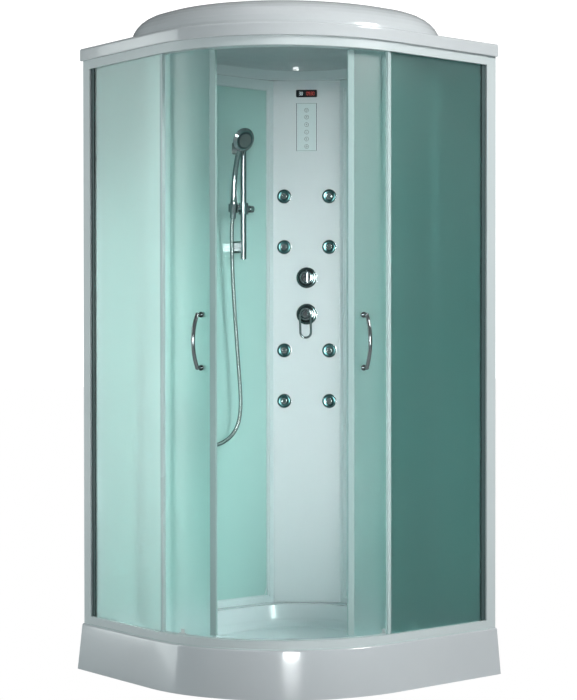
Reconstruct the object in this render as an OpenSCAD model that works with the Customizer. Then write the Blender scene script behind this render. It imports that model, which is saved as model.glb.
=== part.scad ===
// Quadrant shower cabin: low tray, curved sliding doors, back walls, service column and roof.
// Origin at the floor, in the middle of the square plan. The left wall is the plane
// x = -plan/2, the right wall is y = plan/2, and the curved door front faces +X and -Y.

/* [Plan] */
// Length of each wall side
plan = 1000; // [960:10:1040]
// Radius of the tray's curved front at the floor
front_r = 560; // [545:5:570]
// How far the tray's skirt flares out towards the floor
skirt_flare = 18; // [10:1:20]

/* [Heights] */
// Height of the tray
tray_h = 150; // [140:5:170]
// Height of the top of the wall and door frames
frame_top = 2036; // [1960:2:2060]
// Height of the roof's fascia band
fascia_h = 41; // [36:1:50]
// Rise of the roof's dome above the fascia
dome_rise = 86; // [70:2:95]

/* [Tray] */
// Thickness of the acrylic shell
shell_t = 5; // [4:0.5:6]
// Radius of the tray's outer rim edge
rim_edge_r = 6; // [4:1:8]
// Width of the rim between the skirt's top and the basin
rim_w = 82; // [80:1:86]
// Height of the basin's floor
basin_z = 70; // [68:1:80]
// Radius between the basin's floor and its side
basin_fillet = 36; // [28:2:40]
// Radius of the basin's three wall-side corners
basin_corner_r = 80; // [70:5:95]
// Radius of the waste hole
waste_hole_r = 42; // [38:1:46]

/* [Frame] */
// Depth of the top and bottom rails
rail_d = 30; // [28:1:32]
// Height of the bottom rail
low_rail_h = 28; // [26:1:32]
// Height of the top rail
top_rail_h = 34; // [32:1:38]
// Wall thickness of the aluminium profiles
profile_t = 2; // [1.6:0.2:2.4]
// Width of the upright posts at the walls
post_w = 40; // [36:1:44]
// Depth of the upright posts
post_d = 38; // [36:1:40]
// Depth of the back wall frames
wall_d = 30; // [28:1:32]
// Width of the back wall frames' top and bottom bars
wall_bar = 33; // [28:1:38]
// Width of the back wall frames' uprights
wall_stile = 21; // [18:1:26]

/* [Glass] */
// Thickness of the sliding doors' glass
door_t = 6; // [5:1:6]
// Thickness of the fixed panes and the back panes
pane_t = 5; // [4:1:5]
// Arc that one door covers, in degrees
door_span = 46; // [44:0.5:47]
// Rest position of the left door, in degrees open
left_open = 20; // [0:0.5:28]
// Rest position of the right door, in degrees open
right_open = 28; // [0:0.5:28]
// Width of the white seal on each door's leading edge
seal_w = 20; // [17:1:24]

/* [Door handles] */
// Length of the bow handle between its posts
handle_l = 165; // [140:5:200]
// Stand-off of the handle's ends from the glass
handle_gap = 20; // [16:1:28]
// Rise of the bow above its ends
handle_bow = 22; // [18:1:36]
// Radius of the handle's bar
handle_bar_r = 6; // [5:0.5:7]

/* [Rollers] */
// Radius of a roller
roller_r = 11; // [10:0.5:11.5]
// Width of a roller
roller_w = 6; // [5:0.5:6.5]
// Radius of a roller's axle
axle_r = 3; // [2.5:0.25:3.5]

/* [Column] */
// Setback of the corner column's sides along each wall
column_side = 202; // [196:1:210]
// Thickness of the column's moulded panel
column_t = 4; // [3:0.5:5]
// Sideways place of the jets from the column's middle
jet_u = 82; // [76:1:84]
// Radius of a jet's chrome ring
jet_ring_r = 25; // [23:0.5:26]
// Radius of a jet's nozzle ball
jet_ball_r = 14; // [13:0.5:14.5]
// Height of the mixer above the floor
mixer_z = 1193; // [1180:1:1205]
// Height of the diverter above the floor
diverter_z = 1325; // [1312:1:1335]
// Radius of the mixer's and the diverter's roses
rose_r = 37; // [33:1:39]

/* [Shower rail] */
// Place of the rail along the left wall
rail_y = 134; // [120:1:145]
// Stand-off of the rail's axis from the glass
rail_off = 54; // [48:1:60]
// Radius of the rail's bar
bar_r = 10; // [9:0.5:11]
// Length of the rail's bar
bar_l = 440; // [420:5:480]
// Height of the rail's lower end
bar_z = 1386; // [1370:2:1400]
// Rest height of the slider
slider_z = 1565; // [1500:5:1600]
// Radius of the hand shower's head
head_r = 43; // [38:1:46]
// Radius of the hand shower's spray plate
plate_r = 31; // [26:1:33]
// Length of the hand shower's handle above its holder
grip_l = 205; // [190:5:220]

/* [Overhead] */
// Radius of the overhead shower
rain_r = 100; // [80:5:110]
// Radius of the fan's housing
fan_r = 60; // [52:2:66]

/* [Hidden] */
$fn = 72;
half = plan / 2;
arc_c = half - front_r;
run = half + arc_c;
rim_r = front_r - skirt_flare;
rail_r = rim_r - rim_edge_r;
rail_in = rail_r - rail_d;
basin_r = rim_r - rim_w;
fit = 0.3;
shaft_fit = 0.05;
big = 3000;

// Panes and doors
pane_y = arc_c + rail_r - 12 - pane_t;
pane_in = rail_r - 12 - pane_t;
pane_end = 20;
pane_lap = 8;
door_gap = 3;
door_out = rail_in - door_gap;
door_in = door_out - door_t;
door_mid = door_out - door_t / 2;
seal_tip = 0.5;
seal_lap = 14;
degree = 180 / PI;
tip_t = seal_tip / door_mid * degree;
lead_t = (seal_tip + seal_w - seal_lap) / door_mid * degree;
trail_t = lead_t + door_span;
handle_t = 6.2;
glass_clear = 0.1;
handle_z = 1097;
door_low = tray_h + 8;
door_high = frame_top - 6;
opening_low = tray_h + low_rail_h;
opening_high = frame_top - top_rail_h;

// Running track inside the rails
track_over = 15;
track_in = rail_in - 26;
track_floor = frame_top - 30;
track_lip = 2.5;
roller_z = track_floor + roller_r + fit;
roller_in = track_in + profile_t + 3;
roller_places = [6.5, 29.5];
guide_places = [15, 31];

// Tray
wall_seat = tray_h - 10;
basin_wall = half - 70;
basin_back_r = 240;
basin_edge_r = 6;
waste_x = -90;
deck_y = post_d + 26;

// Walls and column
post_front = arc_c * -1 - rail_r + 2;
wall_start = post_front + post_d;
wall_end = half - column_side;
pane_inset = wall_d / 2;
column_y = half - column_side;
column_x = wall_d + 3 - half;
face_c = (column_y - column_x) / 2;
jet_heights = [879, 1062, 1436, 1619];
jet_tail = 40;
riser_d = 48;
riser_r = 8;
inlet_u = 62;
inlet_d = 50;
inlet_low = 300;
thread_l = 22;
thread_nut_r = 14;
thread_nut_h = 8;
thread_r = 10.48;
stem_r = 8;
neck_r = 15;
rose_h = 9;
hand_pipe_z = 860;
outlet_y = -105;

// Shower rail, holder and hand shower
wall_face = pane_inset + pane_t / 2 - half;
hand_pipe_r = 5;
hand_pipe_x = wall_face - pane_t - hand_pipe_r - 1.2;
outlet_x = wall_face + 42.5;
bar_x = wall_face + rail_off;
cradle_y = rail_y - 50;
cradle_tilt = 8;
holder_pin_r = 5;
hose_r = 7;

// Roof
roof_t = 4;
fascia_low = frame_top - 5;
fascia_high = fascia_low + fascia_h;
fascia_r = rail_r + 10;
dome_r = fascia_r - 14;
dome_wall = half - 60;
dome_corner_r = 330;
dome_back_r = 270;
dome_shoulder = 120;
dome_top = fascia_high + dome_rise;
ceiling = dome_top - roof_t;
fan_x = 40;
light_x = 165;
rain_x = -110;
mouth_r = track_in + 6;
mouth_wall = half - wall_d - 4;
mouth_corner_r = 60;
mouth_back_r = (face_c - mouth_wall) / (1 / sqrt(2) - 1);

// Points along an arc
function arc_pts(x, y, r, a0, a1, n) =
  [for (i = [0:n]) let (a = a0 + (a1 - a0) * i / n) [x + r * cos(a), y + r * sin(a)]];

// Section of an edge of a cushion shape: steps are [distance in from the edge, height]
function edge_poly(r, steps) = concat(
  [[0, steps[0][1]]],
  [for (s = steps) [r - s[0], s[1]]],
  [[0, steps[len(steps) - 1][1]]]
);

// The right side mirrors the left side across the plan's diagonal
module right_side() mirror([1, 1, 0]) children();

module both_sides() {
  children();
  right_side() children();
}

// A section, drawn as radius and height, swept along the curved front alone
module arc_sweep(over = 0) {
  translate([arc_c, -arc_c, 0])
    rotate([0, 0, -90 - over])
      rotate_extrude(angle = 90 + 2 * over) children();
}

// The same section run along the straight part of the left side
module side_run(wall_gap) {
  translate([wall_gap - half, -arc_c, 0])
    mirror([0, 1, 0])
      rotate([90, 0, 90])
        linear_extrude(run - wall_gap) children();
}

// The same section swept along the whole front
module front_sweep(wall_gap = 0) {
  arc_sweep() children();
  both_sides() side_run(wall_gap) children();
}

// The square of the plan behind the front's arc centre
module corner_block(inset, z0, z1) {
  translate([inset - half, -arc_c, z0]) cube([run - inset, run - inset, z1 - z0]);
}

// A quadrant-shaped body with rounded corners, whose edge follows the steps
module cushion_half(steps, r, corner, back, wall) {
  ax = corner - wall;
  ay = -arc_c - r + corner;
  back_y = wall - back;
  low = min(steps[0][1], steps[len(steps) - 1][1]);
  high = max(steps[0][1], steps[len(steps) - 1][1]);
  translate([ax, -arc_c, 0])
    mirror([0, 1, 0])
      rotate([90, 0, 90])
        linear_extrude(arc_c - ax) polygon(edge_poly(r, steps));
  translate([ax, ay, 0])
    rotate([0, 0, 180])
      rotate_extrude(angle = 90) polygon(edge_poly(corner, steps));
  translate([ax, ay, 0])
    rotate([90, 0, 180])
      linear_extrude(back_y - ay) polygon(edge_poly(corner, steps));
  translate([ax, -arc_c, low]) cube([arc_c - ax, back_y + arc_c, high - low]);
}

module cushion(steps, r, corner, back, wall) {
  both_sides() cushion_half(steps, r, corner, back, wall);
  arc_sweep() polygon(edge_poly(r, steps));
  translate([back - wall, wall - back, 0])
    rotate([0, 0, 90])
      rotate_extrude(angle = 90) polygon(edge_poly(back, steps));
}

// Places on the column's face: u to the right, v up, and the third axis out of the face
module on_column(u, z) {
  translate([u / sqrt(2) - face_c, face_c + u / sqrt(2), z])
    rotate([90, 0, 45]) children();
}

// Places on the left wall: first axis along +Y, second up, third into the cabin
module on_left_wall(y, z, x = wall_face) {
  translate([x, y, z]) rotate([90, 0, 90]) children();
}

// Places on a left door, t degrees back from its closed leading edge
module on_door(t, open, r, z) {
  a = -45 - t - open;
  translate([arc_c + r * cos(a), -arc_c + r * sin(a), z])
    rotate([90, 0, 90 + a]) children();
}

// A band of a door, between two places and two radii
module door_band(t0, t1, open, r0, r1, z0, z1) {
  translate([arc_c, -arc_c, 0])
    rotate([0, 0, -45 - t1 - open])
      rotate_extrude(angle = t1 - t0)
        translate([r0, z0]) square([r1 - r0, z1 - z0]);
}

function unit(v) = v / norm(v);

// A ring of points round a centre, square to direction d
function ring_points(centre, d, side, r, sides) =
  let (a = unit(cross(unit(d), side)), b = cross(unit(d), a))
  [for (k = [0:sides - 1]) centre + r * (cos(360 * k / sides) * a + sin(360 * k / sides) * b)];

// A closed tube through a list of rings
module swept_tube(rings, sides) {
  last = len(rings) - 1;
  caps = [[for (k = [0:sides - 1]) k], [for (k = [sides - 1:-1:0]) last * sides + k]];
  quads = [
    for (i = [0:last - 1], k = [0:sides - 1])
      let (a = i * sides + k, b = i * sides + (k + 1) % sides)
      each [[a, b + sides, b], [a, a + sides, b + sides]]
  ];
  polyhedron(points = [for (ring = rings) each ring], faces = concat(caps, quads), convexity = 10);
}

// A flat plate with rounded corners, in the third axis from z0 up
module plate(w, h, r, z0, t) {
  translate([0, 0, z0])
    linear_extrude(t)
      union() {
        square([w - 2 * r, h], center = true);
        square([w, h - 2 * r], center = true);
        for (sx = [-1, 1], sy = [-1, 1])
          translate([sx * (w / 2 - r), sy * (h / 2 - r)]) circle(r);
      }
}

// Tray

function basin_steps(grow) = concat(
  [[-basin_edge_r - grow, tray_h + 1], [-basin_edge_r - grow, tray_h]],
  arc_pts(-basin_edge_r - grow, tray_h - basin_edge_r, -basin_edge_r, 270, 350, 4),
  arc_pts(8 + basin_fillet - grow, basin_z - grow + basin_fillet, -basin_fillet, 10, 90, 6)
);

module tray_outline(inset, low, high) {
  slope = atan(skirt_flare / tray_h);
  polygon(concat(
    [[0, low], [front_r - inset, low]],
    arc_pts(rim_r - inset - rim_edge_r, high - rim_edge_r, rim_edge_r, slope, 90, 6),
    [[0, high]]
  ));
}

module basin(grow) {
  cushion(basin_steps(grow), basin_r, basin_corner_r, basin_back_r, basin_wall);
}

module wall_rebate() {
  translate([0, 0, wall_seat])
    linear_extrude(20)
      polygon([
        [-half - 1, wall_start], [wall_d + 4 - half, wall_start],
        [wall_d + 4 - half, column_y - 6], [6 - column_y, half - wall_d - 4],
        [-wall_start, half - wall_d - 4], [-wall_start, half + 1], [-half - 1, half + 1]
      ]);
}

module tray() {
  color("white")
    difference() {
      union() {
        front_sweep() tray_outline(0, 0, tray_h);
        corner_block(0, 0, tray_h);
      }
      basin(0);
      wall_rebate();
      difference() {
        union() {
          front_sweep(shell_t) tray_outline(shell_t, -1, wall_seat - shell_t);
          corner_block(shell_t, -1, wall_seat - shell_t);
        }
        basin(shell_t);
      }
      both_sides()
        translate([-half - 1, wall_start, -1]) cube([shell_t + 2, half - wall_start + 1, basin_z + 21]);
      translate([waste_x, -waste_x, basin_z - shell_t - 1]) cylinder(r = waste_hole_r, h = shell_t + 2);
    }
}

beam_w = 30;
beam_h = 15;
beam_low = basin_z - shell_t - beam_h;
beam_places = [-180, 300];
long_beam_ends = [-350, 250];
short_beam_ends = [-322, 320];

module beam(y, ends) {
  l = ends[1] - ends[0];
  translate([ends[0], y - beam_w / 2, beam_low])
    difference() {
      cube([l, beam_w, beam_h]);
      translate([-1, 2, 2]) cube([l + 2, beam_w - 4, beam_h - 4]);
    }
}

module tray_frame() {
  color("lightgray")
    difference() {
      both_sides() {
        beam(beam_places[0], long_beam_ends);
        beam(beam_places[1], short_beam_ends);
      }
      for (p = foot_places) translate([p[0], p[1], beam_low - 1]) cylinder(r = 6.3, h = 4);
    }
}

foot_places = [
  [-beam_places[0], beam_places[0]], [-beam_places[1], beam_places[0]],
  [-beam_places[0], beam_places[1]], [-beam_places[1], beam_places[1]]
];

module tray_feet() {
  color("dimgray")
    for (p = foot_places)
      translate([p[0], p[1], 0]) {
        cylinder(r1 = 22, r2 = 18, h = 8);
        cylinder(r = 6, h = beam_low + 2);
        translate([0, 0, beam_low - 8]) cylinder(r = 11, h = 8, $fn = 6);
      }
}

module drain_cover() {
  color("silver")
    translate([waste_x, -waste_x, basin_z]) {
      rotate_extrude()
        polygon(concat(
          [[0, 0.5], [waste_hole_r + 10, 0]],
          arc_pts(waste_hole_r + 4, 2, 6, -10, 90, 4),
          [[0, 10]]
        ));
      translate([0, 0, -12])
        difference() {
          cylinder(r = 14, h = 13);
          translate([0, 0, -1]) cylinder(r = 12, h = 12);
        }
    }
}

trap_r = 54;
trap_pipe_r = 20;
trap_pipe_z = 27;
trap_pipe_end = 470;
trap_pipe_t = 3;
spigot_l = 45;
spigot_step = 1.5;

module waste_trap() {
  top = basin_z - shell_t;
  color("whitesmoke")
    translate([waste_x, -waste_x, 0])
      difference() {
        union() {
          translate([0, 0, 6]) cylinder(r = trap_r - 6, h = top - 6);
          translate([0, 0, top - 6]) cylinder(r = trap_r, h = 6);
          translate([0, 0, trap_pipe_z])
            rotate([0, -90, 0]) {
              cylinder(r = trap_pipe_r, h = trap_pipe_end + waste_x);
              cylinder(r = trap_pipe_r + spigot_step, h = trap_pipe_end + waste_x - spigot_l);
            }
        }
        translate([0, 0, 10]) cylinder(r = waste_hole_r - 4, h = top);
        translate([-30, 0, trap_pipe_z]) rotate([0, -90, 0]) cylinder(r = trap_pipe_r - trap_pipe_t, h = big);
      }
}

// Front frame

module box_section(z0, z1) {
  difference() {
    translate([rail_in, z0]) square([rail_d, z1 - z0]);
    translate([rail_in + profile_t, z0 + profile_t])
      square([rail_d - 2 * profile_t, z1 - z0 - 2 * profile_t]);
  }
}

module lower_rail() {
  color("gainsboro")
    difference() {
      union() {
        front_sweep(post_w) box_section(tray_h, opening_low);
        arc_sweep(track_over) {
          translate([track_in, tray_h]) square([rail_in - track_in + 24, profile_t]);
          translate([track_in, tray_h]) square([profile_t, 10]);
        }
      }
      front_sweep(post_w - 1)
        translate([pane_in - fit - 0.5, opening_low - profile_t - 1])
          square([pane_t + 2 * fit + 1, profile_t + 2]);
    }
}

module upper_rail() {
  color("gainsboro")
    difference() {
      union() {
        front_sweep(post_w) box_section(opening_high, frame_top);
        arc_sweep(track_over) {
          translate([track_in, frame_top - profile_t])
            square([rail_in - track_in + 16, profile_t]);
          translate([track_in, track_floor - profile_t])
            square([profile_t, frame_top - track_floor + profile_t]);
          translate([track_in, track_floor - profile_t]) square([15, profile_t]);
          translate([track_in + 13, track_floor - profile_t])
            square([profile_t, profile_t + track_lip]);
        }
      }
      front_sweep(post_w - 1)
        translate([pane_in - fit - 0.5, opening_high - 1])
          square([pane_t + 2 * fit + 1, profile_t + 2]);
    }
}

module post() {
  color("gainsboro")
    difference() {
      translate([-half, post_front, tray_h]) cube([post_w, post_d, frame_top - tray_h]);
      translate([profile_t - half, post_front + profile_t, tray_h - 1])
        cube([post_w - 2 * profile_t, post_d - 2 * profile_t, frame_top]);
      translate([post_w - half - profile_t - 1, -arc_c - pane_in - pane_t - fit, tray_h - 1])
        cube([profile_t + 2, pane_t + 2 * fit, frame_top]);
    }
}

module left_post() post();

module right_post() right_side() post();

module fixed_glass() {
  color([0.62, 0.84, 0.8, 0.6])
    translate([post_w - half - pane_lap, -arc_c - pane_in - pane_t, tray_h + 10])
      cube([run + pane_end - post_w + pane_lap, pane_t, frame_top - tray_h - 34]);
}

module left_fixed_glass() fixed_glass();

module right_fixed_glass() right_side() fixed_glass();

module pane_channel(x0, x1) {
  y0 = -arc_c - pane_in - pane_t;
  difference() {
    translate([x0, y0 - 3, opening_low]) cube([x1 - x0, pane_t + 6, opening_high - opening_low]);
    translate([x0 - 1, y0, opening_low - 1]) cube([x1 - x0 - 1, pane_t, big]);
  }
}

module post_gasket() {
  y0 = -arc_c - pane_in - pane_t;
  translate([post_w - half, y0 - 3, opening_low])
    difference() {
      cube([16, pane_t + 6, opening_high - opening_low]);
      translate([-1, 3, -1]) cube([18, pane_t, big]);
    }
}

module pane_edge_channels() {
  color("azure") both_sides() pane_channel(arc_c + pane_end - 10, arc_c + pane_end + 2);
}

module fixed_glass_gaskets() {
  y0 = -arc_c - pane_in - pane_t;
  color("darkslategray")
    both_sides() {
      post_gasket();
      for (x = [90 - half, arc_c - 90])
        translate([x, y0 - 3, tray_h + profile_t]) cube([30, pane_t + 6, 8]);
    }
}

// Doors

module door_glass(open) {
  color([0.7, 0.88, 0.85, 0.6])
    difference() {
      door_band(lead_t, trail_t, open, door_in, door_out, door_low, door_high);
      for (t = roller_places) on_door(t, open, door_in - 1, roller_z) cylinder(r = 6, h = door_t + 2);
      for (s = [-1, 1])
        on_door(handle_t, open, door_in - 1, handle_z + s * handle_l / 2) cylinder(r = 4, h = door_t + 2);
    }
}

module door_handle(open) {
  bow_r = (pow(handle_l / 2, 2) + pow(handle_bow, 2)) / (2 * handle_bow);
  bow_a = asin(handle_l / 2 / bow_r);
  bow_top = handle_gap + handle_bow;
  color("silver")
    on_door(handle_t, open, door_out, handle_z) {
      translate([0, 0, bow_top - bow_r])
        rotate([0, -90, 0])
          rotate([0, 0, -bow_a])
            rotate_extrude(angle = 2 * bow_a) translate([bow_r, 0]) circle(handle_bar_r);
      for (s = [-1, 1])
        translate([0, s * handle_l / 2, 0]) {
          translate([0, 0, -door_t - glass_clear - 5]) cylinder(r = 9, h = 5);
          translate([0, 0, -door_t - 1]) cylinder(r = 3.9, h = door_t + 2);
          cylinder(r = 9, h = 2.5);
          cylinder(r = 5, h = handle_gap);
          translate([0, 0, handle_gap]) sphere(handle_bar_r + 0.6);
        }
    }
}

module door_seals(open) {
  flap_t = 1.2 / door_mid * degree;
  low = opening_low + 4;
  high = opening_high - 4;
  lip_t = seal_lap / door_mid * degree;
  color("whitesmoke") {
    difference() {
      door_band(tip_t, lead_t + lip_t, open, door_in - 2.5, door_out + 2.5, low, high);
      door_band(lead_t, lead_t + lip_t + 1, open, door_in, door_out, low - 1, high + 1);
    }
    difference() {
      union() {
        door_band(trail_t - 0.9, trail_t + 0.25, open, door_in - 1.5, door_out + 1.5, low, high);
        door_band(trail_t + 0.05, trail_t + 0.05 + flap_t, open, door_out, pane_in - 1, low, high);
      }
      door_band(trail_t - 1, trail_t, open, door_in, door_out, low - 1, high + 1);
    }
  }
}

module door_carriages(open) {
  color("whitesmoke") {
    for (t = roller_places)
      on_door(t, open, door_out, roller_z) {
        cylinder(r = 9, h = 2);
        translate([0, 0, -door_t - 1]) cylinder(r = 5.9, h = door_t + 1.1);
        translate([0, 0, -door_t - glass_clear - 3]) cylinder(r = 8, h = 3);
        translate([0, 0, roller_in - door_out - 1.5]) cylinder(r = axle_r, h = door_in - roller_in);
        translate([0, 0, roller_in - door_out - 2]) cylinder(r = axle_r + 2, h = 1.6);
      }
    for (t = guide_places) guide_clip(t, open);
  }
}

// Low guide clip: two cheeks over the glass and a foot that runs inside the bottom rail
module guide_clip(t, open) {
  w = 14 / door_mid * degree;
  difference() {
    union() {
      door_band(t - w, t + w, open, door_in - 6, door_out + 2, door_low - 4, door_low + 22);
      door_band(t - w / 2, t + w / 2, open, door_in - 5, door_out + 1.5, door_low + 20, door_low + 34);
      door_band(t - w + 0.2, t + w - 0.2, open, track_in + profile_t + 2, door_out + 1.5,
        tray_h + profile_t + fit, door_low - 1);
    }
    door_band(t - w - 1, t + w + 1, open, door_in, door_out, door_low, door_low + 60);
  }
}

module roller(t, open) {
  color("ivory")
    on_door(t, open, roller_in, roller_z)
      difference() {
        union() {
          cylinder(r = roller_r - 1, h = roller_w);
          translate([0, 0, 1]) cylinder(r = roller_r, h = roller_w - 2);
        }
        translate([0, 0, -1]) cylinder(r = axle_r + shaft_fit, h = roller_w + 2);
      }
}

module left_door_glass() door_glass(left_open);

module left_door_handle() door_handle(left_open);

module left_door_seals() door_seals(left_open);

module left_door_carriages() door_carriages(left_open);

module left_lead_roller() roller(roller_places[0], left_open);

module left_trail_roller() roller(roller_places[1], left_open);

module right_door_glass() right_side() door_glass(right_open);

module right_door_handle() right_side() door_handle(right_open);

module right_door_seals() right_side() door_seals(right_open);

module right_door_carriages() right_side() door_carriages(right_open);

module right_lead_roller() right_side() roller(roller_places[0], right_open);

module right_trail_roller() right_side() roller(roller_places[1], right_open);

// Back walls

module wall_frame(hand_pipe) {
  y0 = wall_start;
  y1 = wall_end;
  z0 = wall_seat;
  glass_in = 6;
  color("gainsboro")
    difference() {
      translate([-half, y0, z0]) cube([wall_d, y1 - y0, frame_top - z0]);
      translate([-half - 1, y0 + wall_stile, z0 + wall_bar])
        cube([wall_d + 2, y1 - y0 - 2 * wall_stile, frame_top - z0 - 2 * wall_bar]);
      translate([wall_d - 5 - half, y0 + wall_stile - 4, z0 + wall_bar - 4])
        cube([6, y1 - y0 - 2 * wall_stile + 8, frame_top - z0 - 2 * wall_bar + 8]);
      translate([wall_face - pane_t, y0 + wall_stile - glass_in, z0 + wall_bar - glass_in])
        cube([
          pane_t, y1 - y0 - 2 * wall_stile + 2 * glass_in,
          frame_top - z0 - 2 * wall_bar + 2 * glass_in
        ]);
      if (hand_pipe)
        translate([hand_pipe_x, y1 + 1, hand_pipe_z])
          rotate([90, 0, 0]) cylinder(r = 5.2, h = wall_stile + 2);
    }
}

module wall_glass(holes) {
  glass_in = 6;
  color([0.5, 0.76, 0.73, 0.8])
    difference() {
      translate([wall_face - pane_t, wall_start + wall_stile - glass_in, wall_seat + wall_bar - glass_in])
        cube([
          pane_t, wall_end - wall_start - 2 * wall_stile + 2 * glass_in,
          frame_top - wall_seat - 2 * wall_bar + 2 * glass_in
        ]);
      if (holes)
        on_left_wall(outlet_y, hand_pipe_z, wall_face - pane_t - 1) cylinder(r = 8, h = pane_t + 2);
    }
}

module left_wall_frame() wall_frame(true);

module right_wall_frame() right_side() wall_frame(false);

module left_wall_glass() wall_glass(true);

module right_wall_glass() right_side() wall_glass(false);

// Service column

module column_section(t) {
  polygon([
    [1 - half, column_y], [column_x, column_y], [-column_y, -column_x], [-column_y, half - 1],
    [-column_y - t, half - 1], [-column_y - t, -column_x - t * (sqrt(2) - 1)],
    [column_x + t * (sqrt(2) - 1), column_y + t], [1 - half, column_y + t]
  ]);
}

panel_w = 78;
panel_h = 176;
panel_z = 1869;
display_w = 76;
display_h = 27;
display_z = 1990;
body_r = 17;

module column_panel() {
  color("aliceblue")
    difference() {
      translate([0, 0, wall_seat]) linear_extrude(frame_top - wall_seat) column_section(column_t);
      for (z = jet_heights, s = [-1, 1])
        on_column(s * jet_u, z) translate([0, 0, -20]) cylinder(r = body_r, h = 40);
      for (z = [mixer_z, diverter_z])
        on_column(0, z) translate([0, 0, -20]) cylinder(r = neck_r, h = 40);
      on_column(0, panel_z) translate([0, 0, -20]) plate(panel_w - 18, panel_h - 18, 4, 0, 40);
      on_column(0, display_z) translate([0, 0, -20]) plate(display_w - 12, display_h - 9, 3, 0, 40);
      translate([hand_pipe_x, column_y + column_t + 1, hand_pipe_z])
        rotate([90, 0, 0]) cylinder(r = 5.2, h = column_t + 2);
    }
}

module control_panel() {
  color("white")
    on_column(0, panel_z) {
      difference() {
        plate(panel_w, panel_h, 6, 0, 3);
        plate(panel_w - 8, panel_h - 8, 4, 2.2, 2);
      }
      plate(panel_w - 18.4, panel_h - 18.4, 4, -column_t - 16, column_t + 16);
    }
}

module display_window() {
  color("black")
    on_column(0, display_z) {
      plate(display_w, display_h, 4, 0, 3);
      plate(display_w - 12.4, display_h - 9.4, 3, -column_t - 10, column_t + 10);
    }
}

module at_jets() {
  for (z = jet_heights, s = [-1, 1]) on_column(s * jet_u, z) children();
}

module jet_bezel() {
  seat = jet_ball_r + fit;
  lip_z = 7;
  lip_a = asin(lip_z / seat);
  difference() {
    rotate_extrude()
      polygon(concat(
        [[0, 0], [jet_ring_r, 0], [jet_ring_r, 2.5]],
        arc_pts(jet_ring_r - 6, 2.5, 6, 15, 90, 5),
        [[seat * cos(lip_a) + 1, lip_z + 1], [0, lip_z + 1]]
      ));
    sphere(seat);
    cylinder(r = seat * cos(lip_a), h = 20);
  }
}

module jet_bezels() {
  color("silver") at_jets() jet_bezel();
}

module jet_body() {
  difference() {
    union() {
      translate([0, 0, -26]) cylinder(r = body_r, h = 26);
      translate([0, 0, -column_t - 5]) cylinder(r = body_r + 6, h = 5);
      translate([0, 0, -jet_tail - 4]) cylinder(r = 9, h = jet_tail);
    }
    sphere(jet_ball_r + fit);
    cylinder(r = jet_ball_r + fit, h = 1);
    translate([0, 0, -jet_tail - 5]) cylinder(r = 5, h = jet_tail);
  }
}

module jet_bodies() {
  color("gray") at_jets() jet_body();
}

// Nozzle ball with a flat face, spray holes and a water channel
module jet_nozzle(i) {
  face_z = 9.5;
  color("darkslategray")
    on_column((i % 2 == 0 ? -1 : 1) * jet_u, jet_heights[floor(i / 2)])
      difference() {
        intersection() {
          sphere(jet_ball_r);
          translate([0, 0, -9]) cylinder(r = jet_ball_r + 1, h = 9 + face_z);
        }
        translate([0, 0, -10]) cylinder(r = 5, h = 14);
        for (a = [0:60:300])
          rotate([0, 0, a]) translate([6.4, 0, face_z - 4]) cylinder(r = 1.1, h = 6);
        translate([0, 0, face_z - 8]) cylinder(r = 1.4, h = 10);
      }
}

module jet_nozzle_1() jet_nozzle(0);

module jet_nozzle_2() jet_nozzle(1);

module jet_nozzle_3() jet_nozzle(2);

module jet_nozzle_4() jet_nozzle(3);

module jet_nozzle_5() jet_nozzle(4);

module jet_nozzle_6() jet_nozzle(5);

module jet_nozzle_7() jet_nozzle(6);

module jet_nozzle_8() jet_nozzle(7);

// Valves

module rose() {
  difference() {
    rotate_extrude()
      polygon(concat(
        [[0, 0], [rose_r, 0], [rose_r, 2]],
        arc_pts(rose_r - 7, 2, 7, 10, 90, 5),
        [[0, rose_h]]
      ));
    translate([0, 0, -1]) cylinder(r = neck_r, h = rose_h + 2);
  }
}

module valve_roses() {
  color("silver") for (z = [mixer_z, diverter_z]) on_column(0, z) rose();
}

module diverter_knob() {
  knob_r = 24;
  color("silver")
    on_column(0, diverter_z) {
      translate([0, 0, -12]) cylinder(r = stem_r, h = rose_h + 14);
      translate([0, 0, rose_h + fit])
        rotate_extrude()
          polygon(concat(
            [[0, 0], [knob_r, 0], [knob_r, 10]],
            arc_pts(knob_r - 6, 10, 6, 0, 90, 5),
            [[0, 16]]
          ));
      intersection() {
        translate([-5, -knob_r + 1, rose_h + 12]) cube([10, 2 * knob_r - 2, 18]);
        translate([0, 0, rose_h + 6])
          rotate([0, 90, 0]) cylinder(r = knob_r - 1, h = 20, center = true);
      }
    }
}

lever_ball_r = 17;
lever_ball_z = 27;
dome_ring_r = 23;

module mixer_dome() {
  top = lever_ball_z + 6;
  color("silver")
    on_column(0, mixer_z) {
      difference() {
        union() {
          translate([0, 0, rose_h + fit])
            rotate_extrude()
              polygon(concat(
                [[0, 0], [dome_ring_r, 0]],
                arc_pts(dome_ring_r - 5, top - rose_h - 5, 5, 0, 90, 5),
                [[0, top - rose_h]]
              ));
          translate([0, 0, -12]) cylinder(r = stem_r, h = 24);
        }
        translate([0, 0, lever_ball_z]) sphere(lever_ball_r + fit);
      }
    }
}

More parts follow.
